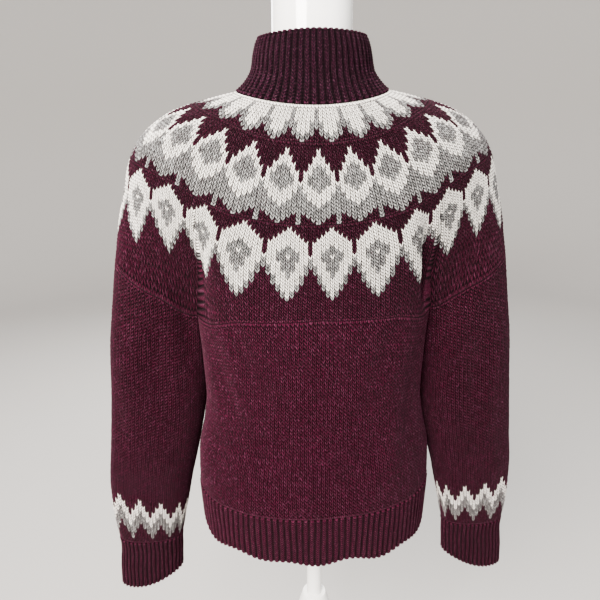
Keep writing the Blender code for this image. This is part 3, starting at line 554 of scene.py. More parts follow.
def hem_edge(place: np.ndarray) -> np.ndarray:
    """Height of the hem's wavy lower edge."""
    angle = np.asarray(place) * math.pi / 2
    return HEM_BOTTOM + sum(w.height * np.cos(w.waves * angle + w.start) for w in HEM_WAVES)


def cuff_edge(place: np.ndarray) -> np.ndarray:
    """Height of a cuff's lower edge, lifted at the inner side."""
    lift = (1 - np.cos(np.asarray(place) * math.pi)) / 2
    return CUFF_OUTER + CUFF_EASE + (CUFF_INNER - CUFF_OUTER - CUFF_EASE) * lift ** CUFF_LIFT


def front_place(points_of: Callable, share: float) -> float:
    """Places on a ring that one metre beside the centre front takes up."""
    return FRONT_PROBE / abs(points_of(np.array([2 - FRONT_PROBE]), share)[0][0])


def opened(place: np.ndarray, points_of: Callable, share: float) -> np.ndarray:
    """Draw the places of a ring back from the centre front to the edge of the opening.

    Args:
        place: places round the whole ring.
        points_of: the ring's surface.
        share: the ring's share or height on it.

    Returns:
        The places, with the opening left free.
    """
    reach = 2 - FRONT_EDGE * front_place(points_of, share)
    turn = np.abs(place)
    front = 2 - CREASE
    moved = front + (turn - front) * (reach - front) / (2 - front)
    return np.sign(place) * np.where(turn > front, moved, turn)


class Yarn(Enum):
    """Yarns of the charts."""

    MAIN = 0
    WHITE = 1
    GREY = 2


@dataclass(frozen=True)
class YarnColour:
    """A yarn's colour, how heathered and how uneven it is, and its pale specks."""

    colour: Triple
    heather: float
    unevenness: float
    speck: Triple


@dataclass(frozen=True)
class StitchBlock:
    """Columns of one repeat: slant, height of legs, purl bumps and rib, and painted light, low
    where painted shade darkens the rib's valleys.
    """

    slant: tuple[float, ...]
    legs: tuple[float, ...]
    purl: tuple[float, ...]
    rib: tuple[float, ...]
    tone: tuple[float, ...]


class Knit(Enum):
    """Stitch patterns of the garment."""

    STOCKING = StitchBlock(
        (-0.62, 0.0, 0.62, 0.0), (0.20, 1.0, 0.40, 1.0), (0.0,) * 4, (0.0,) * 4, (1.0,) * 4,
    )
    RIB = StitchBlock(
        (0.0, 0.0, -0.35, 0.0, 0.4, 0.0, -0.35, 0.0),
        (0.0, 0.1, 0.55, 1.0, 0.5, 1.0, 0.55, 0.1),
        (1.0, 0.8, 0.0, 0.0, 0.0, 0.0, 0.0, 0.8),
        (-0.45, 0.1, 0.75, 1.0, 1.0, 1.0, 0.75, 0.1),
        # painted light of each rib column: its valleys get painted shade
        (0.30, 0.65, 1.0, 1.0, 1.0, 1.0, 1.0, 0.65),
    )


class Charts:
    """Colour charts of the yoke and the cuffs, each a grid of yarns for one repeat."""

    @staticmethod
    def _drawn(chart: np.ndarray, *layers: tuple[Yarn, int, str]) -> np.ndarray:
        """Draw motifs that are the same on both sides of the middle of a repeat.

        Args:
            chart: the chart to draw on.
            layers: yarn, first course, and the stitches either side of the middle by course.

        Returns:
            The same chart.
        """
        away = Charts._away(chart)
        for yarn, first, reaches in layers:
            for course, reach in enumerate(reaches, first):
                chart[course][away <= int(reach)] = yarn.value
        return chart

    @staticmethod
    def _away(chart: np.ndarray) -> np.ndarray:
        """Stitches from the middle of the repeat, for each of its columns."""
        spots = np.arange(chart.shape[1])
        return np.minimum(spots, chart.shape[1] - spots)

    @classmethod
    def diamonds(cls) -> np.ndarray:
        """Large diamonds of the yoke's lower band, ten stitches a repeat."""
        chart = cls._drawn(np.zeros((22, 10), dtype=int),
                           (Yarn.GREY, 0, "0123444455554433322110"),
                           (Yarn.WHITE, 0, "012344445443332221100"),
                           (Yarn.GREY, 5, "0122211100"))
        return cls._drawn(chart, (Yarn.WHITE, 8, "0"))

    @classmethod
    def scallops(cls) -> np.ndarray:
        """Diamonds over grey scallops of the yoke's middle band, eight stitches a repeat."""
        chart = np.zeros((21, 8), dtype=int)
        for spot, last in enumerate((20, 19, 18, 17, 20)):
            chart[9:last + 1, cls._away(chart) == spot] = Yarn.GREY.value
        return cls._drawn(chart, (Yarn.WHITE, 0, "0011223334332210"),
                          (Yarn.GREY, 4, "01122210"))

    @classmethod
    def bells(cls) -> np.ndarray:
        """Bells hanging from the neckline, six stitches a repeat."""
        return cls._drawn(np.zeros((11, 6), dtype=int), (Yarn.GREY, 0, "33333332210"),
                          (Yarn.WHITE, 0, "322221110"))

    @classmethod
    def zigzag(cls) -> np.ndarray:
        """White zigzag over a grey one above the cuffs, six stitches a repeat."""
        chart = np.zeros((16, 6), dtype=int)
        for spot in range(4):
            first, column_of = 2 * spot, cls._away(chart) == spot
            chart[first:first + 4, column_of] = Yarn.WHITE.value
            chart[first + 4:first + 9, column_of] = Yarn.GREY.value
        return chart


@dataclass(frozen=True)
class Pattern:
    """A chart laid on a panel: its first course and the wale at the middle of a repeat."""

    chart: np.ndarray
    first: int
    middle: int

    def laid(self, courses: int, wales: int) -> np.ndarray:
        """Lay the chart on a panel.

        Args:
            courses: courses of the panel.
            wales: wales of the panel.

        Returns:
            The yarn of every stitch.
        """
        yarns = np.zeros((courses, wales), dtype=int)
        spots = (np.arange(wales) - self.middle) % self.chart.shape[1]
        last = min(self.first + self.chart.shape[0], courses)
        yarns[self.first:last] = self.chart[:last - self.first][:, spots]
        return yarns


@dataclass(frozen=True)
class Socket:
    """A shader value that can be used in sums."""

    tree: "Shader"
    link: bpy.types.NodeSocket

    def _with(self, operation: str, first: object, second: object) -> "Socket":
        """Value of a Math node."""
        return self.tree.node("ShaderNodeMath", {"operation": operation}, {0: first, 1: second})

    def __add__(self, other: object) -> "Socket":
        """Sum."""
        return self._with("ADD", self, other)

    def __radd__(self, other: object) -> "Socket":
        """Sum with a number first."""
        return self._with("ADD", other, self)

    def __mul__(self, other: object) -> "Socket":
        """Product."""
        return self._with("MULTIPLY", self, other)

    def __rmul__(self, other: object) -> "Socket":
        """Product with a number first."""
        return self._with("MULTIPLY", other, self)


class Shader:
    """A material's node tree, built by one method for every kind of node."""

    def __init__(self, name: str, finish: "Finish") -> None:
        """Start a material with its constant settings.

        Args:
            name: name of the material.
            finish: constants set on the shader itself.
        """
        self.material = bpy.data.materials.new(name)
        self.material.use_nodes = True
        self.nodes = self.material.node_tree.nodes
        self.links = self.material.node_tree.links
        self.surface = self.nodes["Principled BSDF"]
        for socket, value in finish.constants().items():
            self.surface.inputs[socket].default_value = value

    def node(self, kind: str, settings: Optional[dict] = None, inputs: Optional[dict] = None,
             output: object = 0) -> Socket:
        """Add a node.

        Args:
            kind: Blender's node type.
            settings: properties of the node, set first.
            inputs: values or sockets for its inputs, by name or number.
            output: the output wanted, by name or number.

        Returns:
            That output.
        """
        made = self.nodes.new(kind)
        for name, value in (settings or {}).items():
            setattr(made, name, value)
        for name, value in (inputs or {}).items():
            self.feed(made.inputs[name], value)
        return Socket(self, made.outputs[output])

    def feed(self, socket: bpy.types.NodeSocket, value: object) -> None:
        """Set or link an input.

        Args:
            socket: the input.
            value: a value to set or a socket to link.
        """
        if isinstance(value, Socket):
            self.links.new(value.link, socket)
        else:
            socket.default_value = value

    def attribute(self, name: str, output: str) -> Socket:
        """Read an attribute of the mesh."""
        return self.node("ShaderNodeAttribute", {"attribute_name": name}, output=output)

    def place(self) -> Socket:
        """Position on the object."""
        return self.node("ShaderNodeTexCoord", output="Object")

    def noise(self, scale: float, detail: float, vector: Socket,
              roughness: float = 0.55) -> Socket:
        """Noise from 0 to 1."""
        return self.node("ShaderNodeTexNoise", inputs={
            "Vector": vector, "Scale": scale, "Detail": detail, "Roughness": roughness})

    def between(self, value: Socket, low: float, high: float) -> Socket:
        """Share of a value between two limits, from 0 to 1."""
        return self.node("ShaderNodeMapRange", {"interpolation_type": "SMOOTHSTEP"}, {
            "Value": value, "From Min": low, "From Max": high})

    def mix(self, share: object, first: object, second: object) -> Socket:
        """Mix of two colours."""
        return self.node("ShaderNodeMix", {"data_type": "RGBA"},
                         {0: share, 6: first, 7: second}, output=2)

    def scaled(self, colour: object, by: Socket) -> Socket:
        """Colour times a value."""
        return self.node("ShaderNodeVectorMath", {"operation": "SCALE"}, {0: colour, "Scale": by})

    def bump(self, height: Socket, strength: float, distance: float) -> Socket:
        """Normal of a relief."""
        return self.node("ShaderNodeBump", inputs={
            "Strength": strength, "Distance": distance, "Height": height}, output="Normal")

    def dress(self, inputs: dict) -> bpy.types.Material:
        """Feed the shader.

        Args:
            inputs: values or sockets for the shader's own inputs.

        Returns:
            The material.
        """
        for name, value in inputs.items():
            self.feed(self.surface.inputs[name], value)
        return self.material


@dataclass(frozen=True)
class Finish:
    """Constants of a finish."""

    roughness: float = 0.5
    metallic: float = 0.0
    specular: float = 0.5
    sheen: float = 0.0
    sheen_roughness: float = 0.5
    sheen_tint: Rgba = (1.0, 1.0, 1.0, 1.0)
    coat: float = 0.0
    coat_roughness: float = 0.08

    def constants(self) -> dict:
        """Values for the shader's own sockets."""
        return {
            "Roughness": self.roughness, "Metallic": self.metallic,
            "Specular IOR Level": self.specular, "Sheen Weight": self.sheen,
            "Sheen Roughness": self.sheen_roughness, "Sheen Tint": self.sheen_tint,
            "Coat Weight": self.coat, "Coat Roughness": self.coat_roughness,
        }

    def looks(self, shader: Shader, place: Socket) -> dict:
        """What varies over the surface: a finish of one colour has nothing."""
        return {}

    def material(self, name: str) -> bpy.types.Material:
        """Make the material."""
        shader = Shader(name, self)
        return shader.dress(self.looks(shader, shader.place()))


@dataclass(frozen=True)
class Wool(Finish):
    """Knitted wool: yarn colours from the chart, heathered fibres, and painted shade in the hollows
    between stitches.
    """

    roughness: float = 0.92
    specular: float = 0.03
    sheen: float = 0.018
    sheen_roughness: float = 0.55
    sheen_tint: Rgba = (1.0, 0.60, 0.72, 1.0)
    # darkest share of the colour: painted shade at the bottom of the hollows
    painted_hollow_shade: float = 0.035
    fleck_scale: float = 1450.0
    strand_scale: float = 520.0
    wear_scale: float = 38.0
    hair_scale: float = 1800.0
    fleck: Rgba = (0.55, 0.28, 0.36, 1.0)
    shade: Rgba = (0.02, 0.006, 0.012, 1.0)

    def looks(self, shader: Shader, place: Socket) -> dict:
        """Yarn colours with specks, darkened by painted shade in the hollows, over a fine hairy
        relief.
        """
        yarn = shader.attribute("Yarn", "Color")
        heather = shader.attribute("Yarn", "Alpha")
        # painted light of each point: low in the hollows, where the yarn gets painted shade
        depth = shader.attribute("PaintedLight", "Fac")
        flecks = shader.noise(self.fleck_scale, 2.0, place)
        strands = shader.noise(self.strand_scale, 3.0, place)
        pale = shader.between(flecks, 0.56, 0.74) * heather
        dark = shader.between(strands, 0.54, 0.75) * heather
        speck = shader.mix(0.42, yarn, self.fleck)
        colour = shader.mix(pale * 0.8, yarn, speck)
        colour = shader.mix(dark * 0.45, colour, self.shade)
        # painted shade: the colour is scaled down where the point lies low
        painted_light = shader.between(depth, 0.10, 0.84) * (1 - self.painted_hollow_shade) + self.painted_hollow_shade
        worn = shader.noise(self.wear_scale, 2.0, place) * 0.22 + 0.89
        colour = shader.scaled(colour, painted_light * worn)
        relief = shader.noise(self.hair_scale, 3.0, place, 0.7)
        return {"Base Color": colour, "Normal": shader.bump(relief, 0.45, 0.0006)}


@dataclass(frozen=True)
class Twill(Finish):
    """Woven zip tape, with painted shade in the grooves of its weave."""

    roughness: float = 0.8
    sheen: float = 0.1
    colour: Rgba = (0.045, 0.010, 0.020, 1.0)
    # darker colour painted into the weave's grooves as painted shade
    painted_weave_shade: Rgba = (0.027, 0.006, 0.012, 1.0)
    weave: Triple = (5200.0, 0.0, 7800.0)

    def looks(self, shader: Shader, place: Socket) -> dict:
        """Slanted ribs of the weave, their grooves darkened with painted shade."""
        slanted = shader.node("ShaderNodeVectorMath", {"operation": "DOT_PRODUCT"},
                              {0: place, 1: self.weave}, output="Value")
        twill = shader.node("ShaderNodeMath", {"operation": "SINE"}, {0: slanted}) * 0.5 + 0.5
        return {"Base Color": shader.mix(twill, self.painted_weave_shade, self.colour),
                "Normal": shader.bump(twill, 0.5, 0.0002)}


@dataclass(frozen=True)
class Brass(Finish):
    """Satin brass with tarnish in its hollows."""

    roughness: float = 0.36
    metallic: float = 1.0
    colour: Rgba = (0.62, 0.46, 0.21, 1.0)
    tarnished: Rgba = (0.34, 0.23, 0.10, 1.0)
    tarnish_scale: float = 420.0
    scratch_scale: float = 2600.0

    def looks(self, shader: Shader, place: Socket) -> dict:
        """Tarnish in patches and fine scratches."""
        tarnish = shader.between(shader.noise(self.tarnish_scale, 4.0, place), 0.42, 0.72)
        colour = shader.mix(tarnish, self.colour, self.tarnished)
        scratches = shader.noise(self.scratch_scale, 2.0, place)
        return {"Base Color": colour, "Roughness": tarnish * 0.2 + 0.28,
                "Normal": shader.bump(scratches, 0.12, 0.0001)}


@dataclass(frozen=True)
class GlossShell(Finish):
    """Glossy white shell of the dress form."""

    roughness: float = 0.13
    coat: float = 0.35
    colour: Rgba = (0.86, 0.86, 0.83, 1.0)
    clouded: Rgba = (0.76, 0.77, 0.74, 1.0)
    cloud_scale: float = 7.0
    smear_scale: float = 60.0

    def looks(self, shader: Shader, place: Socket) -> dict:
        """Faint clouds in the white, and smears in the gloss."""
        clouds = shader.noise(self.cloud_scale, 3.0, place)
        smears = shader.noise(self.smear_scale, 4.0, place)
        colour = shader.mix(clouds * 0.10, self.colour, self.clouded)
        return {"Base Color": colour, "Roughness": smears * 0.10 + 0.08,
                "Normal": shader.bump(clouds, 0.05, 0.0015)}


@dataclass(frozen=True)
class PaintedSteel(Finish):
    """White powder coat with its fine orange peel."""

    roughness: float = 0.32
    colour: Rgba = (0.84, 0.83, 0.80, 1.0)
    dusty: Rgba = (0.70, 0.68, 0.64, 1.0)
    peel_scale: float = 750.0
    dust_scale: float = 24.0

    def looks(self, shader: Shader, place: Socket) -> dict:
        """Orange peel under a little dust."""
        peel = shader.noise(self.peel_scale, 2.0, place)
        dust = shader.noise(self.dust_scale, 4.0, place)
        colour = shader.mix(dust * 0.12, self.colour, self.dusty)
        return {"Base Color": colour, "Roughness": dust * 0.14 + 0.26,
                "Normal": shader.bump(peel, 0.10, 0.0003)}


@dataclass(frozen=True)
class PaleFloor(Finish):
    """Matt floor and backdrop."""

    roughness: float = 0.9
    specular: float = 0.2
    colour: Rgba = (0.45, 0.43, 0.405, 1.0)
    darker: Rgba = (0.405, 0.39, 0.37, 1.0)
    patch_scale: float = 3.0

    def looks(self, shader: Shader, place: Socket) -> dict:
        """Soft patches of two pale tones."""
        grain = shader.noise(self.patch_scale, 4.0, place)
        return {"Base Color": shader.mix(grain * 0.2, self.colour, self.darker)}


def repaint(starts: tuple[str, ...], material: bpy.types.Material) -> None:
    """Give a material to the CAD pieces whose names start so.

    Args:
        starts: starts of the names.
        material: the material.
    """
    for name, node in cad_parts.items():
        if name.startswith(starts):
            node.data.materials.clear()
            node.data.materials.append(material)


class MeshMaker:
    """Grids of points made into meshes."""

    @staticmethod
    def grid(rows: int, columns: int, closed: bool, start: int = 0) -> np.ndarray:
        """Quads of a grid of points.

        Args:
            rows: rows of the grid.
            columns: columns of the grid.
            closed: whether the last column meets the first.
            start: number of the first point.

        Returns:
            Four point numbers a quad.
        """
        spots = np.arange(columns if closed else columns - 1)
        after = (spots + 1) % columns
        low = start + np.arange(rows - 1)[:, None] * columns
        high = low + columns
        quads = np.stack([low + spots, high + spots, high + after, low + after], axis=-1)
        return quads.reshape(-1, 4)

    @staticmethod
    def joined(long: np.ndarray, short: np.ndarray) -> list[tuple[int, int, int]]:
        """Triangles between two chains of points that run side by side.

        Args:
            long: the chain of many points.
            short: the chain of few.

        Returns:
            Three point numbers a triangle.
        """
        faces = []
        met = 0
        for step in range(len(long) - 1):
            due = round((step + 0.5) / (len(long) - 1) * (len(short) - 1))
            while met < due:
                faces.append((int(long[step]), int(short[met]), int(short[met + 1])))
                met += 1
            faces.append((int(long[step]), int(short[met]), int(long[step + 1])))
        while met < len(short) - 1:
            faces.append((int(long[-1]), int(short[met]), int(short[met + 1])))
            met += 1
        return faces

    @staticmethod
    def made(name: str, points: np.ndarray, faces: list,
             material: bpy.types.Material) -> bpy.types.Object:
        """Make and link a smooth object.

        Args:
            name: name of the object.
            points: its points.
            faces: point numbers of each face.
            material: its material.

        Returns:
            The object.
        """
        mesh = bpy.data.meshes.new(name)
        mesh.from_pydata(points.reshape(-1, 3).tolist(), [], faces)
        mesh.shade_smooth()
        mesh.materials.append(material)
        item = bpy.data.objects.new(name, mesh)
        bpy.context.scene.collection.objects.link(item)
        return item

    @staticmethod
    def corners(mesh: bpy.types.Mesh) -> np.ndarray:
        """How many corners each face has."""
        totals = np.zeros(len(mesh.polygons), dtype=int)
        mesh.polygons.foreach_get("loop_total", totals)
        return totals

    @staticmethod
    def normals(base: np.ndarray, closed: bool) -> np.ndarray:
        """Unit normals of a grid of points.

        Args:
            base: the grid.
            closed: whether the last column meets the first.

        Returns:
            The normals, outward as a whole.
        """
        wide = np.concatenate([base[:, -1:], base, base[:, :1]], axis=1) if closed else base
        across = np.gradient(wide, axis=1)
        across = across[:, 1:-1] if closed else across
        down = np.gradient(base, axis=0)
        normals = unit(np.cross(across, down))
        outward = (normals * (base - base.mean(axis=1, keepdims=True)))[..., :2].sum()
        return normals if outward > 0 else -normals


@dataclass
class KnitPanel:
    """One knitted piece: a thin shell whose outer side is made of stitches."""

    name: str
    node: str
    slot: str
    surface: Callable[[np.ndarray, np.ndarray], np.ndarray]
    wales: int
    courses: int
    knit: Knit = Knit.STOCKING
    pattern: Optional[Pattern] = None
    closed: bool = False
    held: str = "draped"
    seed: int = 1
    area_share: float = 1.0
    wale: float = STITCH_WIDTH
    # share of the main yarn's colour kept at the first and the last course; lower values are darker
    # painted shade
    painted_shade_fade: tuple[float, float] = (1.0, 1.0)

    WALE_POINTS = 4
    COURSE_ROWS = 2
    INNER_ROWS = 6
    # painted light of the inner side: a middling painted shade
    INNER_PAINTED_LIGHT = 0.55
    WANDER = 0.10
    WANDER_COURSES = 9.0
    WANDER_TURNS = (3, 5, 8)
    LOOSENESS = 0.05
    UNEVENNESS = 0.11
    NARROW = 0.08
    PURL_ROWS = (0.15, 0.75)
    JOINT = (0.22, 0.09)
    RIB_JOINT = (0.55, 0.15)
    FLECK_CONTRAST = 0.42
    FLECK_SHARE = 0.20
    FLECK_STRENGTH = 0.34
    BAKE_BAND = 0.08
    BAKE_EDGE = 0.004
    BAKE_RIMS = (0.85, 0.65)

    def _waver(self, rng: np.random.Generator, rows: int, columns: int) -> np.ndarray:
        """Slow sideways wander of the wales.

        Args:
            rng: source of the random draws.
            rows: rows of points.
            columns: columns of points.

        Returns:
            The wander of each point, in wales.
        """
        down = np.linspace(0, 1, rows)[:, None] * self.courses / self.WANDER_COURSES
        over = np.linspace(0, 1, columns, endpoint=not self.closed)[None, :] * 2 * math.pi
        total = np.zeros((rows, columns))
        for turns in self.WANDER_TURNS:
            phase = rng.uniform(0, 2 * math.pi, 2)
            total = total + np.sin(turns * over + phase[0]) * np.sin(down * turns / 3 + phase[1])
        edge = 1.0 if self.closed else np.sin(over / 2) ** 0.5
        return total * self.WANDER * edge

    def build(self, yarns: Sequence[YarnColour], material: bpy.types.Material) -> bpy.types.Object:
        """Make the panel.

        Args:
            yarns: colours of the yarns in the order of Yarn.
            material: material of the wool.

        Returns:
            The panel, riding on the garment.
        """
        rng = np.random.default_rng(self.seed)
        block = self.knit.value
        columns = self.wales * self.WALE_POINTS + (0 if self.closed else 1)
        rows = self.courses * self.COURSE_ROWS + 1
        spot = np.arange(columns) % len(block.slant)
        across = np.arange(columns) / (self.wales * self.WALE_POINTS)
        across = across[None, :] + self._waver(rng, rows, columns) / self.wales
        base = self.surface(across, np.linspace(0, 1, rows))
        normals = MeshMaker.normals(base, self.closed)
        course = np.arange(rows) / self.COURSE_ROWS
        taper = np.clip(np.minimum(course, self.courses - course), 0, 1)[:, None]
        loose = rng.normal(0, self.LOOSENESS, (rows, columns)) * taper
        slanted = self.COURSE_ROWS * (np.array(block.slant)[spot] + loose) * taper
        at = np.clip(np.arange(rows)[:, None] + slanted, 0, rows - 1.001)
        middle = (np.arange(rows) % self.COURSE_ROWS == 1)[:, None]
        legs = np.array(block.legs)[spot] * np.where(middle, 1.0, self.NARROW)
        purl = np.array(block.purl)[spot] * np.where(middle, *self.PURL_ROWS)
        rise = (legs + purl) * (1 + rng.normal(0, self.UNEVENNESS, (rows, columns)))
        joint = self.RIB_JOINT if self.knit is Knit.RIB else self.JOINT
        rise[[0, -1]] = (np.array(block.legs) * joint[0] + joint[1])[spot]
        relief = rise * STITCH_RELIEF - STITCH_SINK + np.array(block.rib)[spot] * RIB_HEIGHT
        outer = read_rows(base, at) + read_rows(normals, at) * relief[..., None]
        kept = np.linspace(0, rows - 1, self.INNER_ROWS).round().astype(int)
        inner = base[kept] - normals[kept] * WALL
        # the height of each point times its column's painted light sets the painted shade in the
        # hollows
        return self._assemble(outer, inner, rise * np.array(block.tone)[spot], yarns, material, rng)

    def _assemble(self, outer: np.ndarray, inner: np.ndarray, rise: np.ndarray,
                  yarns: Sequence[YarnColour], material: bpy.types.Material,
                  rng: np.random.Generator) -> bpy.types.Object:
        """Args:
            outer: points of the stitches.
            inner: points of the inner side, in fewer rows.
            rise: how high each outer point stands, times its column's painted light; low values
                give painted shade.
            yarns: colours of the yarns.
            material: material of the wool.
            rng: source of the random draws.

        Returns:
            The piece.
        """
        rows, columns = outer.shape[:2]
        count = rows * columns
        deep = inner.shape[0]
        front = MeshMaker.grid(rows, columns, self.closed)
        back = MeshMaker.grid(deep, columns, self.closed, count)[:, ::-1]
        spots = np.arange(columns if self.closed else columns - 1)
        after = (spots + 1) % columns
        last, end = (rows - 1) * columns, count + (deep - 1) * columns
        top = np.stack([spots, after, count + after, count + spots], axis=-1)
        bottom = np.stack([last + after, last + spots, end + spots, end + after], axis=-1)
        faces = front.tolist() + back.tolist() + top.tolist() + bottom.tolist()
        if not self.closed:
            for column_at, flip in ((0, False), (columns - 1, True)):
                long = np.arange(rows) * columns + column_at
                short = count + np.arange(deep) * columns + column_at
                sides = MeshMaker.joined(long, short)
                faces += [face[::-1] for face in sides] if flip else sides
        points = np.concatenate([outer.reshape(-1, 3), inner.reshape(-1, 3)])
        item = MeshMaker.made(self.name, points, faces, material)
        mesh = item.data
        mesh.polygons.foreach_set("use_smooth", np.arange(len(faces)) < len(front) + len(back))
        probe = len(front) // 2
        outward = points[front[probe]].mean(axis=0) - outer.reshape(-1, 3).mean(axis=0)
        if Vector(outward).dot(mesh.polygons[probe].normal) < 0:
            mesh.flip_normals()
        self._colour(mesh, rise, yarns, rng)
        self._map(mesh, rows, columns, deep, len(front))
        self._declare(item)
        return item

    def _colour(self, mesh: bpy.types.Mesh, rise: np.ndarray, yarns: Sequence[YarnColour],
                rng: np.random.Generator) -> None:
        """Give each face the colour of its yarn, and each point its painted light, from how high it
        stands: the hollows get painted shade.

        Args:
            mesh: the piece, its outer faces first.
            rise: how high each outer point stands, times its column's painted light.
            yarns: colours of the yarns.
            rng: source of the random draws.
        """
        chart = np.zeros((self.courses, self.wales), dtype=int)
        if self.pattern is not None:
            chart = self.pattern.laid(self.courses, self.wales)
        palette = np.array([[*yarn.colour, yarn.heather] for yarn in yarns])
        uneven = np.array([yarn.unevenness for yarn in yarns])[chart]
        tones = palette[chart]
        tones[..., :3] *= (1 + rng.normal(0, 1, chart.shape) * uneven)[..., None]
        # painted shade on the main yarn, changing from the first course to the last
        painted_shade_by_course = np.linspace(*self.painted_shade_fade, self.courses)[:, None]
        painted_shade_fade = np.where(chart == Yarn.MAIN.value, painted_shade_by_course, 1.0)[..., None]
        tones[..., :3] *= painted_shade_fade
        wide = rise.shape[1] - (0 if self.closed else 1)
        across = np.arange(wide)[None, :] // self.WALE_POINTS
        down = np.arange(rise.shape[0] - 1)[:, None] // self.COURSE_ROWS
        shades = tones[down, across]
        heather = palette[chart[down, across], 3]
        contrast = self.FLECK_CONTRAST * heather * rng.normal(0, 1, heather.shape)
        shades[..., :3] *= np.exp(contrast)[..., None]
        specks = (np.array([yarn.speck for yarn in yarns])[chart] * painted_shade_fade)[down, across]
        pale = rng.random(heather.shape) < self.FLECK_SHARE * heather
        shades[..., :3] += (specks - shades[..., :3]) * pale[..., None] * self.FLECK_STRENGTH
        colours = np.tile(palette[0], (len(mesh.polygons), 1))
        colours[:heather.size] = shades.reshape(-1, 4)
        yarn = mesh.color_attributes.new("Yarn", "FLOAT_COLOR", "CORNER")
        corners = np.repeat(colours, MeshMaker.corners(mesh), axis=0)
        yarn.data.foreach_set("color", corners.astype(np.float32).ravel())
        # painted light of every point, which the wool's shader turns into painted shade in the
        # hollows
        inside = np.full(len(mesh.vertices) - rise.size, self.INNER_PAINTED_LIGHT)
        risen = mesh.attributes.new("PaintedLight", "FLOAT", "POINT")
        risen.data.foreach_set("value", np.concatenate([rise.ravel(), inside]).astype(np.float32))

    def _map(self, mesh: bpy.types.Mesh, rows: int, columns: int, deep: int,
             stitches: int) -> None:
        """Lay the outer side, the inner side and the rims on the map used for baking.

        Args:
            mesh: the piece.
            rows: rows of the outer side.
            columns: columns of both sides.
            deep: rows of the inner side.
            stitches: faces of the outer side.
        """
        corners = np.zeros(len(mesh.loops), dtype=int)
        mesh.loops.foreach_get("vertex_index", corners)
        count = rows * columns
        outside = corners < count
        row, spot = np.divmod(np.where(outside, corners, corners - count), columns)
        owner = np.repeat(np.arange(len(mesh.polygons)), MeshMaker.corners(mesh))
        wide = columns if self.closed else columns - 1
        if self.closed:
            group = np.where(owner < stitches, owner % wide, (owner - stitches) % wide)
            spot = np.where((spot == 0) & (group == wide - 1), columns, spot)
        band, edge = self.BAKE_BAND, self.BAKE_EDGE
        across = edge + spot / wide * (1 - 2 * edge)
        on_outer = band + (1 - row / (rows - 1)) * (1 - edge - band)
        on_inner = edge + (1 - row / (deep - 1)) * band / 2
        on_rim = band * np.where(outside, *self.BAKE_RIMS)
        inner_faces = (deep - 1) * wide
        down = np.where(owner < stitches, on_outer,
                        np.where(owner < stitches + inner_faces, on_inner, on_rim))
        bake = mesh.uv_layers.new(name="OFBake")
        bake.data.foreach_set("uv", np.stack([across, down], axis=-1).astype(np.float32).ravel())

    def _declare(self, item: bpy.types.Object) -> None:
        """Tie the piece to the garment in place of its solid, and log its stitches and faces."""
        course = RIB_STITCH_HEIGHT if self.knit is Knit.RIB else STITCH_HEIGHT
        flat = (self.wales * self.wale, self.courses * course)
        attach(item, "garment")
        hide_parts(self.node)
        self.area_share * flat[0] * flat[1]
        LOG.info("%s: %d stitches, %d faces", self.name, self.wales * self.courses,
                 len(item.data.polygons))


